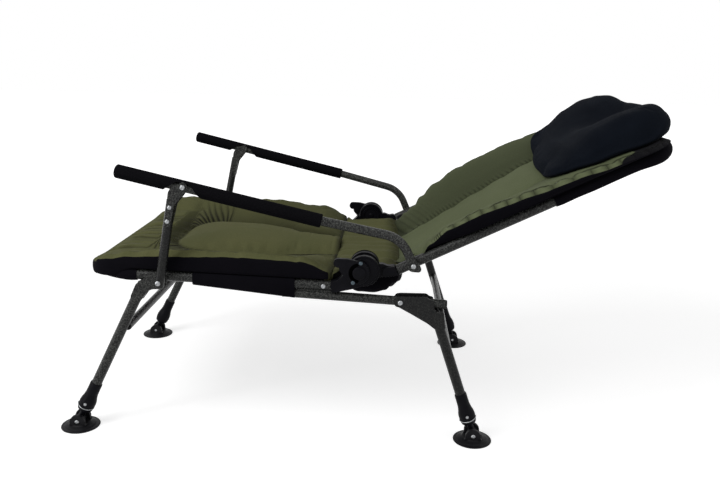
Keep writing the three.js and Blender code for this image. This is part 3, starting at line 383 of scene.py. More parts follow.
# Near-black plastic with no gloss for the knob's crescent well: a painted shadow.
shadowPlastic = moulded("well_shadow_plastic", (0.0003, 0.0003, 0.0004), 0.9, specular=0)
footPlastic = moulded("foot_plastic", (0.0044, 0.0044, 0.0054), 0.5, specular=0.12)
foam = grained("foam_grip", (500, 3), [(0.3, (0.0034, 0.0034, 0.0042)), (0.72, (0.0072, 0.0068, 0.0082))],
               [((1300, 3), 0.35, 0.0004)], {"Roughness": 0.85, "Specular IOR Level": 0.01})
fleece = grained("dark_fleece", (14, 4), [(0.3, (0.0038, 0.0052, 0.0085)), (0.7, (0.006, 0.008, 0.0125))],
                 [((700, 3, 0.7), 0.5, 0.0008), ((45, 4), 0.25, 0.003)],
                 {"Roughness": 0.95, "Specular IOR Level": 0.02, "Sheen Weight": 0.01,
                  "Sheen Roughness": 0.6})
olive = weave("olive_polyester", (0.098, 0.099, 0.042), (0.084, 0.088, 0.037), gathered=True)
# A paler, greener copy of the same olive cloth for the back cushion: painted light.
oliveBackPaintedLight = weave("olive_polyester_back_painted_light", (0.116, 0.134, 0.071), (0.105, 0.122, 0.063), gathered=True)
blackCloth = weave("black_polyester", (0.0026, 0.0024, 0.0038), (0.0042, 0.0038, 0.0056), specular=0.04)
print("materials made")

# Seat frame: its bent tube, the lower rails and the bolts through them.
seatFrame = {"halfWidth": 262, "nose": (46, 325.0), "tail": (503.7, 311.8), "radius": 10, "noseBend": 75}
# Each bolt is listed with its node, then (distance from the front, height, inner end, outer end), then sizes.
seatBolts = {"_plug_screw": ("_rail_bolt", (490, 312.2, 252, 272.3), (2.6, 4.6, 2.2, 1.7)),
             "_front_pivot": ("_front_bolt", (180, 314.5, 249.4, 294.2), ()),
             "_rear_pivot": ("_rear_bolt", (636.4, 284.9, 249.4, 274.9), ())}
rail = {"nose": (410, 295.3), "tail": (723, 280.6), "radius": 8.75, "web": (439, 503.8), "webHalf": 4,
        "webSunk": (7.6, 9.6), "plug": [(0, 0), (7.4, 0), (8.2, 0.6), (8.2, 1.6), (7.2, 2.4), (0, 2.6)]}


def heightOn(bar, y):
    # The height of a straight tube over a distance from the front.
    (y0, z0), (y1, z1) = bar["nose"], bar["tail"]
    return z0 + (z1 - z0) * (np.asarray(y, float) - y0) / (y1 - y0)


def seatZ(y):
    return heightOn(seatFrame, y)


def seatAt(x, y, above=0):
    return np.array([x, y, float(seatZ(y)) + above])


def seatLoop(rear):
    w, nose = seatFrame["halfWidth"], seatFrame["nose"][0]
    return [seatAt(w, rear), seatAt(w, nose), seatAt(-w, nose), seatAt(-w, rear)]


def boltPart(y, z, inner, outer, side, shank=4.0, head=5.2, depth=3.2, socket=2.1):
    # Shank, washer flange and a domed head with a small socket in its middle.
    length = outer - inner
    profile = [(0, 0), (shank, 0), (shank, length), (head, length), (head, length + 0.5),
               (head * 0.93, length + depth * 0.55), (head * 0.74, length + depth * 0.85),
               (socket + 0.25, length + depth), (socket, length + depth - 0.15),
               (socket * 0.9, length + depth - 1.3), (0, length + depth - 1.5)]
    return turnPart(profile, (side * inner, y, z), (side, 0, 0), 28)


seatTube = tubePart(seatLoop(seatFrame["tail"][0]), seatFrame["radius"], seatFrame["noseBend"])
addPart("seat_frame_bar", seatTube, "seat_frame", steel, ["seat_frame_tube"])
for label, side in handed:
    w = seatFrame["halfWidth"] * side
    bar = tubePart([(w, *rail["nose"]), (w, *rail["tail"])], rail["radius"])
    web = [(y, heightOn(rail, y) + rail["webSunk"][0]) for y in rail["web"]]
    web += [(y, seatZ(y) - rail["webSunk"][1]) for y in reversed(rail["web"])]
    web = platePart(web, w - rail["webHalf"], w + rail["webHalf"])
    addPart(label + "_rail", joinParts([bar, web]), "seat_frame", steel, [label + "_lower_rail"])
    plug = turnPart(rail["plug"], (w, rail["tail"][0] + 0.05, rail["tail"][1]), (0, 1, -0.045), 28)
    addPart(label + "_rail_plug", plug, "seat_frame", plastic)
    for name, (node, spot, size) in seatBolts.items():
        addPart(label + name, boltPart(*spot, side, *size), "seat_frame", zinc, [label + node])
print("seat frame made")

# Reclining hinges: a seat arm, a back arm, an axle and a clamping knob on each side.
hinge = {"centre": (566.6, 347.3), "radius": 29.5, "inner": 248, "outer": 276, "hub": 234,
         "knobTip": (518.5, 361.6), "knobGap": 0.3, "knobThick": 8.5, "wellSpan": (8.3, 8.8),
         "tailSpan": (233.6, 247.4), "socketSpan": (247.2, 253), "axleSpan": (-282, -232.7),
         "plug": [(10.6, 0), (11.4, 0.6), (11.4, 9), (0, 9)],
         "tail": [(596, 325.5), (612, 328.4), (633.2, 331.6), (624.2, 350.2), (612, 348.5), (600, 353)],
         "socket": [(601, 327.5), (612, 329), (632.8, 332.0), (624.2, 349.8), (612, 347.5), (601, 345)],
         "button": [(0, 0), (12.4, 0), (12.4, 10.6), (11.6, 11.8), (9.5, 12.4), (0, 12.6)],
         "screw": [(0, 0), (3.6, 0), (3.6, 0.9), (2.6, 1.5), (0, 1.6)],
         "screws": ((560.5, 362.6), (546.5, 324.5)), "rings": ((28.6, 2.2), (21, 3.0))}
cy, cz = hinge["centre"]
socketZ = float(seatZ(504))
hubPart = ringOutline((cy, cz - 1.5), hinge["radius"] - 0.6, 12, 300, 50) + hinge["tail"]
shoulder = [(cy - 33, cz - 6), (517, socketZ + 12.5), (510, socketZ + 11), (504.2, socketZ + 10.5),
            (504.2, socketZ - 10.5), (511, socketZ - 11.5), (545, socketZ + 4.4 - 8)]
shell = ringOutline((cy, cz - 3), hinge["radius"], -90, 152, 44) + shoulder
core = ringOutline((cy, cz - 3), hinge["radius"] - 6.5, -90, 152, 44) + shoulder
# The clamping wing: a narrow lever that swells at its tip, with a crescent well and a round centre button.
wing = ringOutline((cy - 12, cz - 3), 22.5, 98, -148, 40) + [(529, 337), (520.5, 347.5)]
wing += ringOutline(hinge["knobTip"], 8.8, -80, -262, 16) + [(536, 370)]
well = ringOutline((cy - 9, cz - 4), 19.5, 100, 262, 24)
well += ringOutline((cy - 5.6, cz - 3.6), 14.6, 258, 104, 24)
for label, side in handed:
    inner, outer = side * hinge["inner"], side * hinge["outer"]
    disc = ringOutline((cy, cz - 3), hinge["radius"] - 4, 0, 360 - 360 / 56, 56)
    seatArm = [platePart(roundCorners(shell, 3, 3), outer - side * 14, outer - side * 2.5),
               platePart(roundCorners(core, 3, 3), inner + side * 1.5, outer - side * 13.8),
               platePart(disc, outer - side * 2.6, outer),
               turnPart(hinge["plug"], (seatFrame["halfWidth"] * side, 504.1, socketZ), (0, 1, 0.02), 28)]
    addPart(label + "_hinge_body", joinParts(seatArm), "seat_frame", plastic,
            [label + "_hinge_seat_arm"], 1.1)
    tail, socket = ([side * x for x in hinge[k]] for k in ("tailSpan", "socketSpan"))
    addPart(label + "_hinge_tail", platePart(roundCorners(hubPart, 3, 3), *tail), "back_frame", plastic,
            [label + "_hinge_back_arm"], 1.1)
    addPart(label + "_hinge_socket", platePart(roundCorners(hinge["socket"], 4, 4), *socket), "back_frame",
            plastic, (), 2.2)
    addPart(label + "_hinge_axle", boltPart(cy, cz, *hinge["axleSpan"], -side), "seat_frame", plastic,
            [label + "_hinge_bolt"])
    face = side * (hinge["outer"] + hinge["knobGap"])
    knob = [platePart(roundCorners(wing, 3, 3), face, face + side * hinge["knobThick"]),
            turnPart(hinge["button"], (face, cy - 9, cz - 4), (side, 0, 0), 40)]
    low, high = (face + side * depth for depth in hinge["wellSpan"])
    # The crescent well is a thin near-black plate on the knob face, a painted shadow.
    addPart(label + "_knob_well", platePart(well, low, high), label + "_knob", shadowPlastic)
    addPart(label + "_wing_knob", joinParts(knob), label + "_knob", plastic, [label + "_hinge_knob"], 1.6)
    for y, z in hinge["screws"]:
        screw = turnPart(hinge["screw"], (face + side * 8.4, y, z), (side, 0, 0), 20)
        addPart(f"{label}_hub_screw_{int(y)}", screw, label + "_knob", dullZinc)
    for radius, depth in hinge["rings"]:
        section = [(radius, 0), (radius - 0.8, depth), (radius - 3.2, depth), (radius - 4, 0)]
        ring = turnPart(section, (side * hinge["hub"], cy, cz), (-side, 0, 0), 56)
        addPart(f"{label}_hub_ring_{int(radius)}", ring, "back_frame", plastic)
print("hinges made")

# Back frame: one bent tube.
backFrame = {"halfWidth": 243, "foot": (629.5, 340.8), "head": (1118, 581.6), "radius": 10, "headBend": 50}
backRun, backRise = (backFrame["head"][k] - backFrame["foot"][k] for k in (0, 1))
backSpan, backAngle = math.hypot(backRun, backRise), math.atan2(backRise, backRun)


def backAt(x, along, above):
    # Rows of x, distance up the back tubes and height square to them.
    x, along, above = np.broadcast_arrays(*(np.asarray(v, float) for v in (x, along, above)))
    y = backFrame["foot"][0] + along * math.cos(backAngle) - above * math.sin(backAngle)
    z = backFrame["foot"][1] + along * math.sin(backAngle) + above * math.cos(backAngle)
    return np.stack([x, y, z], -1)


def backLoop(foot):
    w = backFrame["halfWidth"]
    return [backAt(w, foot, 0), backAt(w, backSpan, 0), backAt(-w, backSpan, 0), backAt(-w, foot, 0)]


addPart("back_frame_bar", tubePart(backLoop(0.3), backFrame["radius"], backFrame["headBend"]), "back_frame",
        steel, ["back_frame_tube"])

# Armrests: bent tubes with foam grips.
arm = {"pivot": (263.3, 659.2, 353.5), "elbow": (265, 634.9, 408.4), "splay": (288, 490, 441.3),
       "front": (298.9, 118, 526), "radius": 8.75, "bend": 62, "grip": 12.8, "gripRear": 487, "gripFront": 5,
       "notchFront": 36, "notchRear": 34, "notchRoof": 9.4, "lug": ((659.2, 353.5), 11.5, (668.5, 347.5), 6)}
postHead = (236.6, 500.6)


def onSide(point, side):
    return np.array([point[0] * side, point[1], point[2]], float)


def linkOutline(first, firstRadius, second, secondRadius):
    # Two discs joined by a straight band.
    dy, dz = second[0] - first[0], second[1] - first[1]
    bearing = math.degrees(math.atan2(dz, dy))
    lean = math.degrees(math.acos((firstRadius - secondRadius) / math.hypot(dy, dz)))
    large = ringOutline(first, firstRadius, bearing + lean, bearing + 360 - lean, 26)
    small = ringOutline(second, secondRadius, bearing - lean, bearing + lean, 14)
    edges = []
    for p, q in ((large[-1], small[0]), (small[-1], large[0])):
        edges.append([tuple(np.asarray(p) * (1 - t) + np.asarray(q) * t) for t in (0.3, 0.5, 0.7)])
    return large + edges[0] + small + edges[1]


def gripRings(side):
    # A round foam sleeve; round the post its lower part is cut away by a flat roof with sloping ends.
    start, end = onSide(arm["splay"], side), onSide(arm["front"], side)
    along = unit(end - start)
    start = start + along * (arm["splay"][1] - arm["gripRear"]) / -along[1]
    end = end + along * arm["gripFront"]
    length = np.linalg.norm(end - start)
    pivot = (postHead[0] - start[1]) / along[1]
    reach = arm["grip"] + arm["notchRoof"]
    knots = {0.0, 1.2, length - 3.5, length - 1.5, length - 0.4, length}
    for edge, sign in ((pivot - arm["notchRear"], 1), (pivot + arm["notchFront"], -1)):
        knots |= {edge + sign * reach * t for t in (0, 0.12, 0.25, 0.4, 0.55, 0.7, 0.85, 1.0)}
        knots.add(edge - sign * 0.4)
    knots |= set(np.linspace(1.2, length - 3.5, 24))
    stations = np.array(sorted(knots))
    angles = np.linspace(0, 2 * math.pi, 40, endpoint=False)
    across = unit(np.cross(along, [0, 0, 1]))
    up = np.cross(across, along)
    rings = []
    for s in stations:
        r = arm["grip"]
        r -= 1.1 * max(0, 1 - s / 1.2) + 3.6 * max(0, (s - length + 3.5) / 3.5) ** 2
        wide, high = r * np.cos(angles), r * np.sin(angles)
        roof = min(s - (pivot - arm["notchRear"]), (pivot + arm["notchFront"]) - s)
        if roof > 0:
            high = np.maximum(high, min(-arm["grip"] + roof, arm["notchRoof"]))
        rings.append(start + along * s + np.outer(wide, across) + np.outer(high, up))
    return np.array(rings)



# The lower end of each tube is pressed flat over a short run, where it meets the lug.
for label, side in handed:
    corners = [onSide(arm[k], side) for k in ("pivot", "elbow", "splay", "front")]
    line = bentLine(corners, arm["bend"], 30, 14)
    rings = sweepRings(line, np.full(len(line), arm["radius"]))
    drop = np.clip((np.linalg.norm(line - line[0], axis=1) - 6) / 26, 0, 1)
    for ring, x, d in zip(rings, line[:, 0], drop):
        flat = 1 - 0.55 * (1 - d) ** 1.5
        ring[:, 0] = side * 258 * (1 - d) + x * d + (ring[:, 0] - x) * flat
    lug = platePart(linkOutline(*arm["lug"]), side * 254, side * 261.5)
    # The arm tube takes the paler copy of the powder coat: painted light.
    addPart(label + "_arm_bar", joinParts([ringsMesh(rings), lug]), label + "_arm", litArmSteel,
            [label + "_arm_tube"], 0.5)
    addPart(label + "_arm_pivot_bolt", boltPart(*arm["pivot"][1:], 233, 263.2, side), "back_frame", zinc,
            [label + "_arm_bolt"])
    addPart(label + "_foam_grip", ringsMesh(gripRings(side)), label + "_arm", foam, [label + "_arm_grip"])
print("armrests made")

# Arm posts: a bar with a hooked fork and two rivets.
post = {"foot": (284.5, 179.4, 303), "top": (294.6, 212.6, 476), "radius": 8.75, "cheek": (9.3, 11.5),
        "hook": [(241, 492.5), (229.5, 478), (221, 468), (211, 428), (205, 426), (199.6, 430), (206.8, 470),
                 (209.5, 491), (214, 498.5)],
        "bridge": [(212, 477), (223, 477), (223, 484), (212, 484)],
        "rivet": [(0, -1), (4.4, -1), (4.4, 0.3), (3.6, 1.5), (2.2, 2.2), (0, 2.4)],
        "rivets": ((211.5, 463), (206.3, 437))}
headShare = (arm["splay"][1] - postHead[0]) / (arm["splay"][1] - arm["front"][1])
headPlane = arm["splay"][0] + (arm["front"][0] - arm["splay"][0]) * headShare
headOutline = roundCorners(ringOutline(postHead, 9, 130, -45, 16) + post["hook"], 3, 3)
for label, side in handed:
    foot, top = onSide(post["foot"], side), onSide(post["top"], side)
    along = unit(top - foot)
    line = [foot + along * t for t in (0, 1.2, 4, 30)] + [top - along * t for t in (20, 0.8, 0)]
    radii = post["radius"] - np.array([4, 1.6, 0, 0, 0, 0, 0.8])
    bar = ringsMesh(sweepRings(line, radii))
    near, far = post["cheek"]
    fork = [platePart(headOutline, side * headPlane + h * near, side * headPlane + h * far) for h in (1, -1)]
    fork.append(platePart(post["bridge"], side * (headPlane - 9.6), side * (headPlane + 9.6)))
    rivets = [turnPart(post["rivet"], (side * (headPlane + far), y, z), (side, 0, 0), 24)
              for y, z in post["rivets"]]
    pin = boltPart(*postHead, headPlane + 9.1, headPlane + 11.8, side, 2.6)
    # The post bar takes the darker copy of the powder coat: painted shade.
    addPart(label + "_post_bar", bar, label + "_post", shadedSteel, [label + "_post"])
    addPart(label + "_post_fork", joinParts(fork), label + "_post", steel, [label + "_post_head"], 0.6)
    addPart(label + "_post_rivets", joinParts(rivets), label + "_post", zinc)
    addPart(label + "_post_pin", pin, label + "_post", zinc, [label + "_post_bolt"])
print("posts made")

# Legs: a crossbar and two legs in front and behind, each leg with a collar, a sliding lower leg and a foot.
legs = {
    "front": {"foot": (0, 16), "top": (141.5, 304.5), "bar": (103.5, 212), "metal": steel,
              "cheek": [(156.5, 331), (186, 331), (192, 322), (190.5, 303), (182, 297), (163, 296.5),
                        (153, 292), (147, 283), (136, 268), (119, 279), (131, 306), (148, 318)],
              "web": [(134, 300), (152, 294), (140, 274), (120, 280)]},
    # The rear legs take the darker copy of the powder coat: painted shade.
    "rear": {"foot": (788, 16), "top": (703, 265), "bar": (732, 185), "metal": shadedSteel,
             "cheek": [(629, 296), (624.5, 290), (624.5, 281), (629, 276.5), (634, 275.6), (660, 261.5),
                       (690, 244.5), (702, 235), (716, 228), (724, 236), (720.5, 262), (718.5, 271),
                       (712, 268), (706.5, 268), (702, 273), (700, 280), (700, 291.5), (692.3, 292.6),
                       (686.4, 297.7), (636, 297.2)],
             "web": [(684, 262), (706, 266), (712, 246), (700, 240.5), (688, 247.5)]},
}
legShape = {
    "plane": 262, "radius": 10, "barHalf": 253.4, "barRadius": 8, "cheekSpan": (10.7, 12.7), "webHalf": 11.4,
    "earSpan": (11.1, 18.6), "buttonAt": (42.5, 10.8),
    "collar": [(8.6, 23), (13.2, 23), (14.3, 24.2), (15.6, 29), (16.3, 34), (16.3, 42), (15.4, 48),
               (13.6, 53.5), (12.7, 59), (12.5, 61), (12.0, 62.2), (12.2, 63.5), (11.9, 75), (11.9, 85),
               (11.2, 87), (10.2, 87.2)],
    "bulge": (1.6, 40, 11), "clip": {"at": 35.5, "dip": 3.2, "side": 17.9, "over": 16.9, "wire": 0.9},
    "button": [(0, 0), (3.3, 0), (3.3, 6.3), (2.7, 7.4), (1.4, 7.9), (0, 8)],
    "slide": [(0, 8), (6, 8), (6, 38), (7.6, 41), (7.6, 204), (0, 205)],
    "knuckle": [(0, -10.4), (8.4, -10.4), (9, -9.8), (9, 9.8), (8.4, 10.4), (0, 10.4)],
    "disc": [(0, 0.3), (35.5, 0.3), (36.5, 0), (37.6, 0.2), (38, 1.1), (37.6, 2.4), (34, 3.4), (31.5, 3.6),
             (30.8, 4.4), (26, 5.6), (22, 7.2), (20.4, 8.6), (20, 9), (0, 9.2)],
}
for end, leg in legs.items():
    run, rise = leg["top"][0] - leg["foot"][0], leg["top"][1] - leg["foot"][1]
    along, length = unit([0, run, rise]), math.hypot(run, rise)
    over = np.cross([1, 0, 0], along)
    half = legShape["barHalf"]
    bar = tubePart([(-half, *leg["bar"]), (half, *leg["bar"])], legShape["barRadius"], 0, 0.4, 24)
    addPart(end + "_cross_bar", bar, end + "_legs", shadedSteel, [end + "_crossbar"])
    for label, side in handed:
        corner = f"{label}_{end}"
        out, plane = np.array([side, 0, 0]), legShape["plane"] * side
        start = np.array([plane, *leg["foot"]], float)
        tube = tubePart([start + along * 60, start + along * length], legShape["radius"])
        near, far = legShape["cheekSpan"]
        cheek = roundCorners(leg["cheek"], 4, 4)
        cheeks = [platePart(cheek, plane + h * near, plane + h * far) for h in (1, -1)]
        web = platePart(leg["web"], plane - legShape["webHalf"], plane + legShape["webHalf"])
        addPart(corner + "_leg_bar", joinParts([tube, *cheeks, web]), end + "_legs", leg["metal"],
                [corner + "_leg"], 0.5)
        # The collar swells towards the outer side of the chair, where the button is.
        angles = np.linspace(0, 2 * math.pi, 48, endpoint=False)
        size, at, spread = legShape["bulge"]
        rings = []
        for r, s in legShape["collar"]:
            bulge = size * math.exp(-((s - at) / spread) ** 2) * np.clip(np.cos(angles) * side, 0, 1) ** 2
            level, high = (r + bulge) * np.cos(angles), (r + bulge) * np.sin(angles)
            rings.append(start + along * s + np.outer(level, [1, 0, 0]) + np.outer(high, over))
        addPart(corner + "_collar", ringsMesh(rings), end + "_legs", plastic, [corner + "_leg_collar"])
        # A bright spring clip runs round the outer half of the collar under its button.
        clip = legShape["clip"]
        wire = []
        for a in np.radians(np.linspace(-78, 78, 26)):
            middle = start + along * (clip["at"] - clip["dip"] * math.cos(a))
            wire.append(middle + out * math.cos(a) * clip["side"] + over * math.sin(a) * clip["over"])
        wire = ringsMesh(sweepRings(wire, np.full(len(wire), clip["wire"]), 10))
        addPart(corner + "_spring_clip", wire, end + "_legs", zinc)
        up, aside = legShape["buttonAt"]
        button = turnPart(legShape["button"], start + along * up + out * aside, out, 24)
        addPart(corner + "_button", button, corner + "_button", zinc, [corner + "_lock_button"])
        slide = turnPart(legShape["slide"], start, along, 28)
        knuckle = turnPart(legShape["knuckle"], start, (1, 0, 0), 32)
        addPart(corner + "_slide_leg", joinParts([slide, knuckle]), corner + "_slide", plastic,
                [corner + "_lower_leg"])
        y = start[1]
        disc = turnPart(legShape["disc"], (plane, y, 0), (0, 0, 1), 56)
        ear = ringOutline((y, 14.5), 15.2, -12, 192, 26) + [(y - 17.5, 8.4), (y + 17.5, 8.4)]
        near, far = legShape["earSpan"]
        ears = [platePart(ear, plane + h * near, plane + h * far) for h in (1, -1)]
        addPart(corner + "_mud_foot", joinParts([disc, *ears]), corner + "_foot", footPlastic,
                [corner + "_foot"], 0.9)
        pin = boltPart(y, leg["foot"][1], 243.2, 280.8, side, 2.9, 4.4, 1.8, 1.6)
        addPart(corner + "_foot_pin", pin, corner + "_foot", zinc)
print("legs made")


# Padding helpers.
def easedTable(places, values, at):
    # Values at places, joined by smooth steps.
    places, values = np.asarray(places, float), np.asarray(values, float)
    at = np.clip(at, places[0], places[-1])
    n = np.clip(np.searchsorted(places, at), 1, len(places) - 1)
    share = (at - places[n - 1]) / (places[n] - places[n - 1])
    return values[n - 1] + (values[n] - values[n - 1]) * share * share * (3 - 2 * share)


def tableOf(shape, key, at):
    # One row of a shape's table, over its list of places.
    return easedTable(shape["places"], shape[key], at)


def smoothStep(at, low, high):
    # 0 below low and 1 above high; between them 3 t squared minus 2 t cubed.
    t = np.clip((np.asarray(at, float) - low) / (high - low), 0, 1)
    return t * t * (3 - 2 * t)


def bell(d, width):
    # 1 at zero, falling with the square of the distance: e to the power of minus d over width, squared.
    return np.exp(-(np.asarray(d) / width) ** 2)


def ripples(x, y, waves):
    # Irregular folds: a sum of sines, each a direction in degrees, a wavelength, a height and a phase.
    height = np.zeros_like(np.asarray(x, float))
    for degrees, wavelength, size, phase in waves:
        a = math.radians(degrees)
        across = np.asarray(x) * math.cos(a) + np.asarray(y) * math.sin(a)
        height = height + size * np.sin(2 * math.pi * across / wavelength + phase)
    return height


def roundedDepth(x, along, halfWidth, front, rear, radius):
    # Depth inside a rectangle with rounded corners; negative outside it.
    middle = (front + rear) / 2
    overX = np.abs(x) - (halfWidth - radius)
    overAlong = np.abs(along - middle) - ((rear - front) / 2 - radius)
    outside = np.hypot(np.maximum(overX, 0), np.maximum(overAlong, 0))
    return radius - outside - np.minimum(np.maximum(overX, overAlong), 0)


def cornerAt(shape, along):
    # The rear corners of a soft form may be tighter than its front ones.
    rear = shape.get("rearCornerRadius", shape["cornerRadius"])
    return np.where(np.asarray(along) > (shape["front"] + shape["rear"]) / 2, rear, shape["cornerRadius"])


def rimDepth(shape, x, along):
    return roundedDepth(x, along, shape["halfWidth"], shape["front"], shape["rear"], cornerAt(shape, along))


def seamDepthOf(pad, x, along):
    # The middle panel narrows where its tables say so, one for its far side and one for its near side.
    far, near = (easedTable(pad["seamPlaces"], pad[k], along) for k in ("seamShares", "nearShares"))
    wide = x / np.where(np.asarray(x) < 0, far, near)
    keys = ("seamHalfWidth", "seamFront", "seamRear", "seamRadius")
    return roundedDepth(wide, along, *(pad[k] for k in keys))


def padTop(pad, peak, welt, x, along, power):
    # Height of a padded top: a crowned middle panel inside a sewn line, and a fuller rim outside it.
    # The panel rises as 1 minus e to the power of minus its depth, and the rim rises by a power, then falls
    # by a square.
    seamDepth = seamDepthOf(pad, x, along)
    edgeDepth = np.maximum(rimDepth(pad, x, along), 0)
    low, full = pad["seamHeight"], pad["full"]
    inside = low + pad["crown"] * (1 - np.exp(-np.maximum(seamDepth, 0) / pad["crownReach"]))
    share = np.clip(-seamDepth / np.maximum(edgeDepth - seamDepth, 1e-6), 0, 1)
    rise = low + (peak - low) * (1 - (1 - np.minimum(share / full, 1)) ** power)
    fall = peak - (peak - welt) * (np.maximum(share - full, 0) / (1 - full)) ** 2
    return np.where(seamDepth > 0, inside, np.where(share < full, rise, fall))


def quiltGrid(shape, columns, rows):
    # A grid drawn into a rectangle with rounded corners, closer together near its rim.
    def spread(n):
        t = np.linspace(-1, 1, n)
        return np.sin(t * math.pi / 2) * 0.35 + t * 0.65
    a, b = np.meshgrid(spread(columns), spread(rows))
    middle, half = (shape["front"] + shape["rear"]) / 2, (shape["rear"] - shape["front"]) / 2
    x, offset = a * shape["halfWidth"], b * half
    r = cornerAt(shape, middle + offset)
    overX, overAlong = np.abs(x) - (shape["halfWidth"] - r), np.abs(offset) - (half - r)
    corner = (overX > 0) & (overAlong > 0)
    scale = np.where(corner, np.maximum(overX, overAlong) / np.maximum(np.hypot(overX, overAlong), 1e-9), 1)
    x = np.where(corner, np.sign(x) * (shape["halfWidth"] - r + overX * scale), x)
    offset = np.where(corner, np.sign(offset) * (half - r + overAlong * scale), offset)
    return x, middle + offset


def rimIndex(columns, rows):
    # The rim of a grid as one loop of point numbers, anticlockwise from above.
    top = [(0, c) for c in range(columns)]
    right = [(r, columns - 1) for r in range(1, rows)]
    back = [(rows - 1, c) for c in range(columns - 2, -1, -1)]
    left = [(r, 0) for r in range(rows - 2, 0, -1)]
    return [r * columns + c for r, c in top + right + back + left]


def quilted(name, shape, columns, rows, topOf, floorOf, bands, placeOf):
    # A closed pad: its top is a grid, its side runs down in rings, its underside is a grid again.
    # bands is a list of (share of the way down, outward bulge in mm).
    x, along = quiltGrid(shape, columns, rows)
    grid = np.stack([x, along, topOf(x, along)]).reshape(3, -1)
    under = np.stack([x, along, floorOf(x, along)]).reshape(3, -1)
    rim = rimIndex(columns, rows)
    edge, floor, size = grid[:, rim], under[2, rim], len(rim)
    out = np.stack([np.roll(edge[1], -1) - np.roll(edge[1], 1), np.roll(edge[0], 1) - np.roll(edge[0], -1)])
    out /= np.maximum(np.hypot(*out), 1e-9)
    corners = (np.arange(rows - 1)[:, None] * columns + np.arange(columns - 1)).ravel()
    topFaces = np.stack([corners, corners + 1, corners + 1 + columns, corners + columns], -1).tolist()
    faces, layers, ring, count = list(topFaces), [grid], rim, rows * columns
    for share, bulge in bands:
        layers.append(np.vstack([edge[:2] + out * bulge, edge[2] + (floor - edge[2]) * share]))
        above, ring = ring, list(range(count, count + size))
        faces += [[above[k], ring[k], ring[(k + 1) % size], above[(k + 1) % size]] for k in range(size)]
        count += size
    inner = [r * columns + c for r in range(1, rows - 1) for c in range(1, columns - 1)]
    layers.append(under[:, inner])
    below = dict(zip(rim, ring)) | {n: count + k for k, n in enumerate(inner)}
    faces += [[below[n] for n in reversed(face)] for face in topFaces]
    kinds = np.repeat([0, 1, 2], [len(topFaces), size * len(bands), len(topFaces)])
    points = np.concatenate(layers, axis=1)
    return meshOf(name, placeOf(*points), faces, 180), *points, kinds


clothLaw = {"quality": 6, "mass": 0.25, "tension_damping": 8, "compression_damping": 8, "shear_damping": 8,
            "air_damping": 3, "use_pressure": True, "vertex_group_mass": "sewn", "pin_stiffness": 4}


def plump(obj, held, settings):
    # Cloth under pressure: the free points swell and wrinkle, and the held points stay sewn down.
    start = np.empty(len(obj.data.vertices) * 3)
    obj.data.vertices.foreach_get("co", start)
    group = obj.vertex_groups.new(name="sewn")
    for weight in np.unique(np.round(held, 2)):
        if weight > 0:
            group.add(np.nonzero(np.round(held, 2) == weight)[0].tolist(), float(weight), "REPLACE")
    cloth = obj.modifiers.new("plump", "CLOTH")
    law = cloth.settings
    for key, value in clothLaw.items():
        setattr(law, key, value)
    law.tension_stiffness = settings["stiffness"]
    law.compression_stiffness = settings["stiffness"]
    law.shear_stiffness = settings["stiffness"] * 0.6
    law.bending_stiffness = settings["bending"]
    law.uniform_pressure_force = settings["pressure"]
    law.shrink_min = settings["shrink"]
    law.effector_weights.gravity = 0
    cloth.collision_settings.use_collision = False
    cloth.point_cache.frame_start, cloth.point_cache.frame_end = 1, settings["frames"]
    for f in range(1, settings["frames"] + 1):
        bpy.context.scene.frame_set(f)
    solved = obj.evaluated_get(bpy.context.evaluated_depsgraph_get())
    end = np.empty_like(start)
    solved.to_mesh().vertices.foreach_get("co", end)
    solved.to_mesh_clear()
    obj.modifiers.remove(cloth)
    bpy.context.scene.frame_set(1)
    # Small moves stay as they are and large ones level off at the cap, as its hyperbolic tangent does.
    move = (end - start).reshape(-1, 3)
    size = np.linalg.norm(move, axis=1)
    cap = settings["cap"] / 1000
    move *= (cap * np.tanh(size / cap) / np.maximum(size, 1e-9))[:, None]
    obj.data.vertices.foreach_set("co", (start.reshape(-1, 3) + move).ravel())
    obj.data.update()
    print(f"{obj.name}: moved {size.max() * 1000:.1f} mm, kept under {settings['cap']} mm")


def foldValues(obj, **values):
    # Point values the cloth materials read: fold, foldDepth, the painted shade and hood.
    for name, value in values.items():
        layer = obj.data.attributes.new(name, "FLOAT", "POINT")
        layer.data.foreach_set("value", np.asarray(value, np.float32))


def softFinish(obj, kinds, materials, body, nodes):
    for material in materials:
        obj.data.materials.append(material)
    obj.data.polygons.foreach_set("material_index", kinds.astype(np.int32))
    smooth = obj.modifiers.new("smooth", "SUBSURF")
    smooth.levels = smooth.render_levels = 1
    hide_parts(*nodes)
    if body:
        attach(obj, body)


# Seat cushion: heights in mm above the line of the seat tubes, listed over distances from the front.
seatPad = {"halfWidth": 270, "cornerRadius": 46, "rearCornerRadius": 9, "front": 36.5, "rear": 502.2,
           "seamHalfWidth": 124, "seamFront": 155, "seamRear": 600, "seamRadius": 76, "seamHeight": 17,
           "seamPlaces": [310, 372, 420, 475, 521], "seamShares": [1, 0.84, 0.56, 0.38, 0.32],
           "nearShares": [1, 0.94, 0.82, 0.72, 0.68], "crown": 26, "crownReach": 48, "full": 0.93, "dip": 8,
           "places": [46, 57, 80, 119, 196, 330, 445, 521], "welts": [18, 26, 30, 36, 40, 46, 45, 22],
           "middleWelts": [14.5, 15, 18, 28, 40, 46, 45, 22], "nearPeaks": [20, 29, 35, 44, 53, 56, 52, 24],
           "farPeaks": [20, 38, 52, 56, 58, 60, 53, 24], "middlePeaks": [15, 16.5, 21, 31, 49, 53, 48, 24],
           "lift": -0.8, "puckers": (326, 437),
           "waves": [(3, 43, 2.3, 0.3), (-6, 27, 1.2, 1.7), (9, 71, 1.7, 2.2)]}
seatPlump = {"pressure": 4.0, "stiffness": 12, "bending": 0.08, "shrink": -0.03, "frames": 20, "cap": 2.6}


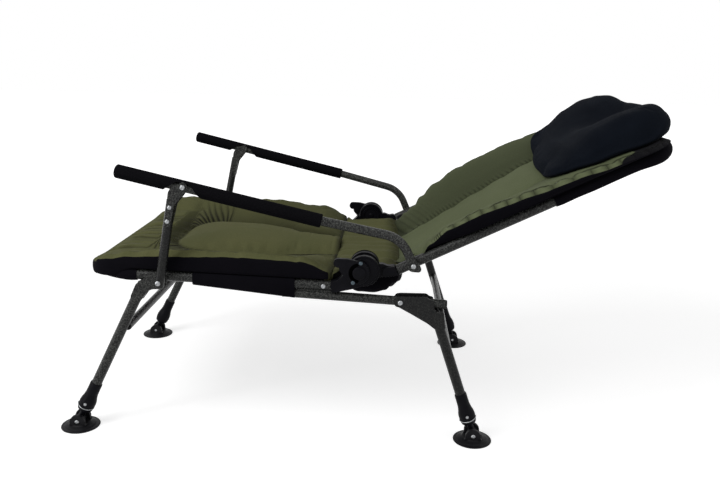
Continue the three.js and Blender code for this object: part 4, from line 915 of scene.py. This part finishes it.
def seatBase(x, y):
    # The far bolster stands a little fuller than the near one, and the front edge dips between its corners.
    p = seatPad
    side = smoothStep(x, -90, 90)
    peaks = tableOf(p, "farPeaks", y) * (1 - side) + tableOf(p, "nearPeaks", y) * side
    power = 1.5 - 0.9 * side
    outer = padTop(p, peaks, tableOf(p, "welts", y), x, y, power)
    middle = padTop(p, tableOf(p, "middlePeaks", y), tableOf(p, "middleWelts", y), x, y, power)
    dip = p["dip"] * smoothStep(y, 300, 470) * (1 - smoothStep(np.abs(x), 120, 215))
    return middle + (outer - middle) * smoothStep(np.abs(x), 150, 245) - dip


def seatBearing(x, y):
    # The bearing of a point from the centre of the nearer front corner of the sewn line, 0 sideways.
    overX = np.abs(x) - (seatPad["seamHalfWidth"] - seatPad["seamRadius"])
    return np.arctan2((seatPad["seamFront"] + seatPad["seamRadius"]) - y, overX)


def seatTopHeight(x, y):
    h = seatBase(x, y) + seatPad["lift"]
    d = seamDepthOf(seatPad, x, y)
    out = np.maximum(-d, 0)
    h = h - (2.6 - 1.8 * (x > 0) * smoothStep(y, 200, 280)) * bell(d, 4.5)
    bearing = seatBearing(x, y)
    fan = bell(bearing - 0.75, 0.7) * np.exp(-out / 60) * (1 - np.exp(-out / 9))
    h = h + fan * 1.6 * np.sin(bearing * 15 + 1.3 * np.sin(bearing * 6 + 0.6))
    # Folds run from the sewn line over the front roll to the front edge.
    front = (1 - smoothStep(y, 130, 170)) * (1 - smoothStep(np.abs(x), 175, 245)) * smoothStep(y, 42, 70)
    h = h + front * ripples(x + 7 * np.sin(y / 31), y, seatPad["waves"])
    # The rim is lightly puckered, and two deeper tucks cross its near side.
    edge = rimDepth(seatPad, x, y)
    h = h + bell(edge - 10, 12) * 0.5 * np.sin(y / 5.3 + 2 * np.sin(y / 37)) * smoothStep(np.abs(x), 190, 230)
    for at in seatPad["puckers"]:
        h = h - 1.8 * bell(y - at, 3.4) * bell(edge - 8, 14) * (x > 0)
    return h


def seatFolds(x, y):
    # Fine gathers fan out round the front of the sewn line and run on over the front roll.
    d = seamDepthOf(seatPad, x, y)
    out, outside, near = np.maximum(-d, 0), d < 0, x > 0
    bearing = seatBearing(x, y)
    fold = bearing * 34 + 0.9 * np.sin(bearing * 9 + out / 34) + 2.2 * np.sin(bearing * 3.7 + 0.8)
    ahead = y < seatPad["seamFront"] + seatPad["seamRadius"]
    straight = np.abs(x) < seatPad["seamHalfWidth"] - seatPad["seamRadius"]
    fold = np.where(straight & ahead, math.pi / 2 * 34 + (48 - np.abs(x)) / 7, fold)
    roll = 1 - smoothStep(y, 112, 150)
    fold = fold + roll * (math.pi * (x + 7 * np.sin(y / 33) + 9 * np.sin(x / 41)) / 24 - fold)
    size = np.exp(-(out / 85) ** 2) * (1 - np.exp(-out / 5)) * outside
    depth = size * (0.35 + 0.65 * bell(bearing - 0.8, 1.0)) * ahead * (1 - roll)
    depth = depth + 0.55 * roll * smoothStep(y, 44, 66) * (1 - smoothStep(np.abs(x), 130, 195))
    # Painted shade beside the sewn line, on the line itself, on the front of the panel and on the far
    # bolster, where less light falls.
    darken = (0.30 - 0.14 * roll) * bell(out - 6, 30) * outside
    darken = darken + 0.16 * bell(out - 45, 45) * outside * (1 - roll)
    darken = darken + (0.45 - 0.4 * near * smoothStep(y, 200, 280)) * bell(d, 2.6)
    darken = darken * (1 - 0.75 * smoothStep(-y, -150, -60)) + 0.05 * outside
    darken = darken + 0.15 * (1 - smoothStep(y, 170, 300)) * (d > 0)
    darken = darken + 0.2 * smoothStep(y, 260, 420) * (x < 0) * outside
    # A thin sewn line runs along the near crest as a painted shadow line, with a painted highlight on the
    # strip outside it.
    edge = rimDepth(seatPad, x, y)
    crest = near * smoothStep(y, 60, 110) * (1 - smoothStep(y, 430, 470))
    darken = darken + crest * (0.4 * bell(edge - 15, 2.2) - 0.12 * (1 - smoothStep(edge, 11, 15)))
    # The rear edge lies in a crease, which gets painted shade.
    return {"fold": fold, "foldDepth": depth, "darken": darken + 0.55 * bell(y - 503, 5)}


def seatPlace(x, y, above):
    return np.stack([x, y, seatZ(y) + above], -1)


def seatFloor(x, y):
    # The front face runs down on to the sleeve round the front tube.
    rim = 1 - smoothStep(rimDepth(seatPad, x, y), 1, 6)
    return 12.6 - 18.6 * rim * (1 - smoothStep(y, 78, 128))


def sewnDown(pad, x, along, free, width, rim):
    # How firmly each point is held: by the sewn line, by the rim, and wholly where it isn't free.
    held = np.where(free, bell(seamDepthOf(pad, x, along), width), 1.0)
    return np.maximum(held, np.where(rimDepth(pad, x, along) < rim, 0.9, 0))


seatBands = [(0.04, 1.2), (0.14, 2.0), (0.35, 2.8), (0.6, 2.8), (0.85, 2.0), (1.0, 0.6)]
seatCushion, sx, sy, sh, seatKind = quilted("olive_seat_cushion", seatPad, 118, 100, seatTopHeight, seatFloor,
                                           seatBands, seatPlace)
foldValues(seatCushion, **seatFolds(sx, sy))
plump(seatCushion, sewnDown(seatPad, sx, sy, sh > 13, 4.5, 2.5), seatPlump)
# Its rear face, which shows in the crease before the lumbar panel, is olive too.
rearFace = np.array([face.center.y for face in seatCushion.data.polygons]) > place([0, 499, 0])[0][1]
softFinish(seatCushion, np.where(rearFace, 0, np.minimum(seatKind, 1)), [olive, blackCloth], "seat_frame",
           ["seat_cushion"])
print("seat cushion made")

# Back cushion: heights square to the back tubes, listed over distances up them from their foot.
backPad = {"halfWidth": 267, "cornerRadius": 60, "rearCornerRadius": 46, "front": -3, "rear": 555,
           "seamHalfWidth": 112, "seamFront": -60, "seamRear": 600, "seamRadius": 30, "seamHeight": 15.5,
           "seamPlaces": [0, 500], "seamShares": [1, 1], "nearShares": [1, 1], "crown": 8, "crownReach": 40,
           "full": 0.93, "places": [-4, 52, 80, 121, 183, 264, 317, 374, 433, 548],
           "welts": [2, 8, 22, 34, 38, 33, 28, 26, 19, 15],
           "nearPeaks": [3, 12, 25, 39, 45, 41, 36, 33, 27, 18],
           "farPeaks": [3, 12, 25, 40, 51, 55, 56, 53, 48, 20], "lift": -0.8, "hood": 486,
           "taperPlaces": [-4, 40, 60, 95, 180], "taperShares": [0.852, 0.858, 0.925, 0.94, 1],
           "sagPlaces": [-4, 60, 136, 200, 269, 330], "sags": [40, 36, 27, 17, 8, 0],
           "tucks": (121, 148, 206, 262, 331, 367, 442), "tuckDepth": 5.0, "tuckWidth": 4.2}
backPlump = {"pressure": 4.0, "stiffness": 12, "bending": 0.08, "shrink": -0.025, "frames": 20, "cap": 2.2}


def backSag(x, along):
    # Between its tubes the lower back hangs down like a hammock.
    return easedTable(backPad["sagPlaces"], backPad["sags"], along) * (1 - smoothStep(np.abs(x), 60, 235))


def backBase(x, along):
    p = backPad
    side = smoothStep(x, -90, 90)
    peaks = tableOf(p, "farPeaks", along) * (1 - side) + tableOf(p, "nearPeaks", along) * side
    return padTop(p, peaks, tableOf(p, "welts", along), x, along, 1.5 - 0.5 * side) - backSag(x, along)


def backTopHeight(x, along):
    h = backBase(x, along) + backPad["lift"]
    d = seamDepthOf(backPad, x, along)
    h = h - 2.4 * bell(d, 4.5)
    # Fine gathers run up the bolsters from the foot, and level puckers cross them there.
    foot = bell(along, 95) * (1 - bell(np.abs(x) - 60, 60)) * smoothStep(-d, 0, 30)
    h = h + foot * ripples(x, along + 0.25 * np.abs(x), [(90, 26, 0.8, 0.2), (84, 15, 0.4, 1.1)])
    h = h + 0.6 * bell(d + 9, 8) * np.sin(along / 4.1 + 1.5 * np.sin(along / 23))
    # Tucks cross the rim strip at uneven steps.
    edge = rimDepth(backPad, x, along)
    lean, near = (np.abs(x) - 260) * 0.25, 0.15 + 0.85 * (x > 0)
    for at in backPad["tucks"]:
        tuck = bell(along - at - lean, backPad["tuckWidth"]) * bell(edge - 15, 9)
        h = h - near * backPad["tuckDepth"] * tuck
    rim = bell(edge - 13, 9) * smoothStep(along, 60, 110) * (0.3 + 0.7 * (x > 0))
    return h + rim * ripples(x, along, [(90, 23, 0.7, 0.5), (90, 11, 0.35, 2.1), (90, 37, 0.6, 0.9)])


def backFolds(x, along):
    # Fine puckers line the two sewn lines, and longer ones spread from the foot.
    d = seamDepthOf(backPad, x, along)
    out, outside = np.maximum(-d, 0), d < 0
    fold = along / 3.6 + 0.8 * np.sin(along / 19) + 0.12 * out
    depth = (0.35 * bell(out - 4, 9) + 0.22 * bell(along, 70) * bell(out - 40, 60)) * outside
    # The strip outside the near crest is puckered at uneven steps, under a thin sewn line.
    edge = rimDepth(backPad, x, along)
    strip = (x > 0) * (1 - smoothStep(edge, 12, 17)) * smoothStep(along, 70, 110)
    fold = fold + strip * ((along + 9 * np.sin(along / 37)) * math.pi / 30 - fold)
    depth = depth * (1 - strip) + 0.75 * strip
    fold = fold * (1 - 0.55 * bell(along, 90))
    # Painted shade beside the sewn lines, at the foot and on the far bolster, little on the near crest; a
    # painted highlight on the near strip and a painted shadow line along the near crest.
    darken = (0.30 * bell(out - 5, 26) + 0.20 * bell(out - 60, 60)) * outside + 0.45 * bell(d, 2.6)
    darken = darken + 0.25 * bell(along + 4, 22) + 0.24 * smoothStep(-x, 110, 150) * outside
    crest = smoothStep(x, 225, 250)
    darken = darken * (1 - 0.8 * crest) + 0.06 * crest - 0.14 * strip
    darken = darken + 0.35 * bell(edge - 17, 2.2) * (x > 0) * smoothStep(along, 60, 100)
    # Beyond a slanting line the top is covered by the black hood at the head end.
    hood = along - backPad["hood"] + 34 * smoothStep(np.abs(x), 245, 267)
    return {"fold": fold, "foldDepth": depth, "darken": darken, "hood": hood}


def backPlace(x, along, above):
    return backAt(x * easedTable(backPad["taperPlaces"], backPad["taperShares"], along), along, above)


def backFloor(x, along):
    return np.minimum(12.6 - backSag(x, along), backBase(x, along) - 2)


backBands = [(0.06, 0.9), (0.2, 1.0), (0.45, 0.2), (0.75, -2.5), (1.0, -7.0)]
backCushion, bx, ba, bh, backKind = quilted("olive_back_cushion", backPad, 110, 116, backTopHeight, backFloor,
                                           backBands, backPlace)
foldValues(backCushion, **backFolds(bx, ba))
plump(backCushion, sewnDown(backPad, bx, ba, bh >= backBase(bx, ba) - 3.2, 4.0, 2.0), backPlump)
softFinish(backCushion, np.minimum(backKind, 1), [oliveBackPaintedLight, blackCloth], "back_frame", ["back_cushion"])
print("back cushion made")

# Head pillow: a fleece pillow on the upper back, with its own table of crowns.
pillow = {"halfWidth": 229, "front": 337, "rear": 587, "cornerRadius": 90, "lift": 14, "headLift": 22,
          "clearance": 2.6, "footRound": 62, "headRound": 27, "dip": 0.45, "dipWidth": 90, "skew": 34,
          "places": [335, 360, 400, 450, 500, 540, 570, 591], "crowns": [50, 51, 65, 82, 86.5, 83, 79, 74]}
pillowPlump = {"pressure": 4.0, "stiffness": 10, "bending": 0.4, "shrink": -0.01, "frames": 16, "cap": 1.6}


def pillowSlant(x, along):
    # The foot edge of the pillow lies further up the back on its far side.
    share = (pillow["rear"] - along) / (pillow["rear"] - pillow["front"])
    return along + pillow["skew"] * smoothStep(-x, -60, 220) * share


def pillowRest(x, along):
    # The height of the cushion under the pillow. Past the cushion's head end it stays as it is there.
    rest = backBase(x, np.minimum(along, 547))
    return np.where(along > 560, np.maximum(rest, 10), rest)


def pillowTopHeight(x, along):
    # A dome: its height over the rim goes as the square root of 1 minus the square of the way out.
    p = pillow
    depth = roundedDepth(x, along, p["halfWidth"], p["front"], p["rear"], p["cornerRadius"])
    rim = pillowRest(x, pillowSlant(x, along)) + p["lift"] + p["headLift"] * smoothStep(along, 520, 580)
    dip = p["dip"] * bell(x, p["dipWidth"]) * np.clip((along - 380) / 120, 0, 1)
    crown = tableOf(p, "crowns", along) * (1 - dip)
    roundness = p["footRound"] + (p["headRound"] - p["footRound"]) * np.clip((along - 430) / 120, 0, 1)
    short = 1 - np.clip(depth / roundness, 0, 1)
    return np.maximum(rim, rim + (crown - rim) * np.sqrt(1 - short ** 2)) - 1


def pillowFloor(x, along):
    return pillowRest(x, pillowSlant(x, along)) + pillow["clearance"]


def pillowPlace(x, along, above):
    return backAt(x, pillowSlant(x, along), above)


pillowBands = [(0.12, 2.6), (0.3, 4.2), (0.55, 4.4), (0.8, 2.0), (1.0, -4)]
headPillow, hx, ha, hh, pillowKind = quilted("fleece_head_pillow", pillow, 84, 60, pillowTopHeight,
                                            pillowFloor, pillowBands, pillowPlace)
plump(headPillow, np.where(hh <= pillowFloor(hx, ha) + 3, 1.0, 0.0), pillowPlump)
softFinish(headPillow, pillowKind * 0, [fleece], "back_frame", ["head_pillow"])
print("head pillow made")

# Lumbar panel: padded cloth that crosses the hinges from the seat cushion to the back cushion.
lumbar = {"halfWidth": 223, "front": 489, "rear": 647, "cornerRadius": 4, "seatEdge": 503.4, "backEdge": 634,
          "edgeRadius": 14, "frontHeight": 326, "frontRise": 8, "puff": 4.6, "round": 24, "tuckHeight": 10.4,
          "tuck": 3.6, "sunk": 4.5, "places": [489, 504, 516, 532, 560, 592, 616, 634, 647],
          "depths": [0, 5, 26, 41, 51, 54, 50, 35, 10], "flarePlaces": [506, 528], "flareShares": [1.185, 1],
          "waves": [(2, 41, 1.2, 0.2), (-5, 27, 0.7, 1.9), (7, 66, 1.0, 0.6)],
          "bendFrom": (0, 510, 335), "bendTo": (0, 628, 330)}
lumbarPlump = {"pressure": 4.0, "stiffness": 12, "bending": 0.1, "shrink": -0.03, "frames": 16, "cap": 2.4}


def rounded(depth):
    # The profile of a rolled edge: the square root of 1 minus the square of the way out.
    return np.sqrt(1 - (1 - np.clip(depth / lumbar["round"], 0, 1)) ** 2)


def lumbarFullness(x, along):
    keys = ("halfWidth", "seatEdge", "backEdge", "edgeRadius")
    return rounded(roundedDepth(x, along, *(lumbar[k] for k in keys)))


def lumbarPlace(x, along, above):
    # Its front and rear edges are tucked under the two cushions, and in between it runs straight across.
    p = lumbar
    footX = np.clip(x / p["halfWidth"], -1, 1) * backPad["halfWidth"]
    footPlace = footX * backPad["taperShares"][0]
    foot = backAt(footPlace, -4, backBase(footX, np.full_like(footX, -4.0)))
    share = np.clip((along - p["seatEdge"]) / (p["backEdge"] - p["seatEdge"]), 0, 1)
    front = p["frontHeight"] + p["frontRise"] * (x / p["halfWidth"]) ** 2
    y = p["seatEdge"] + (foot[..., 1] - 0.8 - p["seatEdge"]) * share
    z = front + (foot[..., 2] - front) * share
    y = np.where(along < p["seatEdge"], along, y)
    ahead = smoothStep(-along, -p["seatEdge"] - 3, -p["seatEdge"] + 1)
    z = z + (seatZ(y) + p["tuckHeight"] - z) * ahead
    beyond = np.maximum(along - p["backEdge"], 0)
    tucked = backAt(footPlace, beyond - 3, backBase(footX, beyond) - p["sunk"])
    behind = smoothStep(along, p["backEdge"] - 1, p["backEdge"] + 3)
    y = y + (tucked[..., 1] - y) * behind
    z = z + (tucked[..., 2] - z) * behind
    wide = x * easedTable(p["flarePlaces"], p["flareShares"], along)
    return np.stack([wide, y, z + above], -1)


def lumbarTop(x, along):
    # Folds run from front to back, one after another across the chair.
    folds = ripples(x + 5 * np.sin(along / 23), along, lumbar["waves"])
    return lumbarFullness(x, along) * (lumbar["puff"] + folds)


def lumbarFloor(x, along):
    return -tableOf(lumbar, "depths", along) * rounded(lumbar["halfWidth"] - np.abs(x)) - lumbar["tuck"]


lumbarPanel, lx, la, lh, lumbarKind = quilted("olive_lumbar_panel", lumbar, 90, 60, lumbarTop, lumbarFloor,
                                             [(0.5, 0.3), (1.0, 0.2)], lumbarPlace)
# Painted shade where the panel runs into the creases behind the seat cushion and under the back cushion.
foldValues(lumbarPanel, darken=0.5 * smoothStep(la, 600, 632) + 0.55 * bell(la - 502, 6))
plump(lumbarPanel, np.where(lh < -1, 1.0, np.where(lumbarFullness(lx, la) < 0.35, 0.9, 0.0)), lumbarPlump)
# The face in the crease behind the seat cushion is olive.
aheadFace = np.array([face.center.y for face in lumbarPanel.data.polygons]) < place([0, 507, 0])[0][1]
softFinish(lumbarPanel, np.where(aheadFace, 0, np.minimum(lumbarKind, 1)), [olive, blackCloth], None,
           ["lumbar_pad"])
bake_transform(lumbarPanel)
print("lumbar panel made")

# Slings: sleeves round the tubes, a thin panel stretched between them and a wrap round each pair of rails.
sling = {"radius": 12.4, "bore": 10.25, "front": 132, "foot": 320, "wrap": (240.3, 435.2),
         "drops": (12.4, 26.5), "panel": (2.1, 4.9), "seatPanel": ((-248, 248), (50, 496.5)), "backHalf": 227,
         "backFoot": 7, "backSwell": 6}


def sleevePart(corners, bend, swell=0):
    # A sewn sleeve round a tube: a thick walled pipe, fuller round the middle of its run.
    line = bentLine(corners, bend, 12, 16)
    steps = np.concatenate([[0], np.cumsum(np.linalg.norm(np.diff(line, axis=0), axis=1))])
    radii = sling["radius"] - 0.35 + 0.35 * np.sin(steps / 13 + 2 * np.sin(steps / 47))
    radii += swell * (1 - smoothStep(np.abs(steps - steps[-1] / 2), 225, 290))
    radii[[0, -1]] -= 0.5
    outer, inner = sweepRings(line, radii), sweepRings(line, np.full(len(line), sling["bore"]))
    rows, columns = outer.shape[:2]
    shift = rows * columns
    faces = gridFaces(rows, columns) + [f[::-1] for f in gridFaces(rows, columns, shift)]
    for start, order in ((0, 1), (shift - columns, -1)):
        for c in range(columns):
            a, b = start + c, start + (c + 1) % columns
            faces.append([a, a + shift, b + shift, b][::order])
    return np.concatenate([outer.reshape(-1, 3), inner.reshape(-1, 3)]), faces


def slab(xRange, yRange, at):
    # A thin panel between two heights above the tubes.
    xs, (low, high) = np.linspace(*xRange, 30), sling["panel"]
    rings = []
    for y in np.linspace(*yRange, 30):
        ring = [at(x, y, high) for x in xs] + [at(x, y, low) for x in xs[::-1]]
        rings.append(np.array(ring).reshape(-1, 3))
    return ringsMesh(rings)


def wrapSection(y, share):
    # The outline of a wrap: over the seat tube, down its outer side, under the lower rail and up again.
    lower = float(seatZ(y)) - (sling["drops"][0] + (sling["drops"][1] - sling["drops"][0]) * share)
    top = float(seatZ(y)) + 11.8
    middle = (top - 16 + lower) / 2
    puff = 0.3 * math.sin(y / 9 + 1.5 * math.sin(y / 31))
    outline = [(264 + puff, top), (270 + puff, top - 1.5), (273.4 + puff, top - 6), (274.2 + puff, top - 13)]
    return outline + [(273.9, middle), (273.2, lower + 2.5), (270, lower - 0.2), (262, lower - 0.5),
                      (254, lower), (250.6, lower + 4), (250, middle), (250, top - 6), (254, top - 0.8)]


addPart("seat_sling_sleeve", sleevePart(seatLoop(sling["front"]), seatFrame["noseBend"]), "seat_frame",
        blackCloth, ["seat_sling"])
seatCloth = addPart("seat_sling_panel", slab(*sling["seatPanel"], seatAt), "seat_frame", blackCloth)
for label, side in handed:
    rings = []
    for share, y in zip(np.linspace(0, 1, 46), np.linspace(*sling["wrap"], 46)):
        rings.append([(side * x, y, z) for x, z in wrapSection(y, share)])
    addPart(label + "_sling_wrap", ringsMesh(rings), "seat_frame", blackCloth)
addPart("back_sling_sleeve", sleevePart(backLoop(sling["foot"]), backFrame["headBend"], sling["backSwell"]),
        "back_frame", blackCloth, ["back_sling"])
backPanel = slab((-sling["backHalf"], sling["backHalf"]), (sling["backFoot"], backSpan - 6),
                 lambda x, y, h: backAt(x, y, h - backSag(x, y)))
backCloth = addPart("back_sling_panel", backPanel, "back_frame", blackCloth)
print("slings made")

# Camera, lamps, world and floor.
camera = {"place": (1646, 606, 738), "yaw": -2.01, "pitch": 13.64, "roll": 1.16, "lens": 38, "sensor": 36}
light = {"world": 0.34, "key": 36, "fill": 9, "edge": 9, "floor": 0.6, "glow": 0.68, "reach": (0.9, 3.6)}


def stand(name, data, spot, right, up, back):
    # A camera or lamp that looks against the direction back.
    obj = bpy.data.objects.new(name, data)
    bpy.context.scene.collection.objects.link(obj)
    turn = Matrix([[right[k], up[k], back[k]] for k in range(3)]).to_4x4()
    turn.translation = place(spot)[0]
    obj.matrix_world = turn
    return obj


def lookFrom(spec):
    # Yaw turns from straight across the chair, pitch looks down and roll tips the picture.
    yaw, pitch, roll = (math.radians(spec[k]) for k in ("yaw", "pitch", "roll"))
    level, drop = math.cos(pitch), math.sin(pitch)
    forward = np.array([-level * math.cos(yaw), level * math.sin(yaw), -drop])
    right = unit(np.cross(forward, [0, 0, 1]))
    up = np.cross(right, forward)
    tipped = math.cos(roll) * right + math.sin(roll) * up
    lens = bpy.data.cameras.new("view")
    lens.lens, lens.sensor_width, lens.clip_end = spec["lens"], spec["sensor"], 60
    upright = -math.sin(roll) * right + math.cos(roll) * up
    bpy.context.scene.camera = stand("view", lens, spec["place"], tipped, upright, -forward)


def softLamp(name, spot, target, size, power):
    data = bpy.data.lights.new(name, "AREA")
    data.shape, data.size, data.energy = "DISK", size, power
    back = unit(place(spot)[0] - place(target)[0])
    side = unit(np.cross([0, 0, 1], back))
    stand(name, data, spot, side, np.cross(back, side), back)


def seenRays(tree):
    # 1 for what the camera, mirrors and glass see, and 0 for the light that falls on the chair.
    path = addNode(tree, "LightPath", {}).outputs
    mirrored = calculate(tree, "MAXIMUM", path["Is Camera Ray"], path["Is Glossy Ray"])
    return calculate(tree, "MAXIMUM", mirrored, path["Is Transmission Ray"])


lookFrom(camera)
world = bpy.data.worlds.new("studio")
bpy.context.scene.world = world
world.use_nodes = True
tree = world.node_tree
tree.nodes.clear()
dim, bright = (addNode(tree, "Background", {"Color": grey(1), "Strength": strength}).outputs[0]
               for strength in (light["world"], 1))
mixer = addNode(tree, "MixShader", {0: seenRays(tree), 1: dim, 2: bright})
addNode(tree, "OutputWorld", {"Surface": mixer.outputs[0]})

floorMesh = bpy.data.meshes.new("floor")
floorMesh.from_pydata([(-12, -12, 0), (12, -12, 0), (12, 12, 0), (-12, 12, 0)], [], [(0, 1, 2, 3)])
floor = bpy.data.objects.new("floor", floorMesh)
bpy.context.scene.collection.objects.link(floor)
# The floor pales to plain white away from the chair.
floorMaterial, tree, shader, spot = nodeTree("pale_floor")
far = addNode(tree, "VectorMath", {0: spot}, operation="LENGTH").outputs["Value"]
ends = dict(zip(("From Min", "From Max", "To Min", "To Max"), (*light["reach"], light["glow"], 1.0)))
pale = addNode(tree, "MapRange", {"Value": far, **ends}, interpolation_type="SMOOTHSTEP").outputs["Result"]
glow = calculate(tree, "MULTIPLY", seenRays(tree), pale)
feed(tree, shader, {"Base Color": grey(light["floor"]), "Roughness": 0.95, "Specular IOR Level": 0.1,
                    "Emission Color": grey(1), "Emission Strength": glow})
floorMesh.materials.append(floorMaterial)
softLamp("key", (1500, -900, 2300), (0, 500, 300), 1.6, light["key"])
softLamp("fill", (900, 2300, 1500), (0, 600, 300), 2.2, light["fill"])
softLamp("edge", (1500, -1500, 700), (0, 450, 350), 0.3, light["edge"])
bpy.context.scene.view_settings.view_transform = "Standard"
print("stage made")
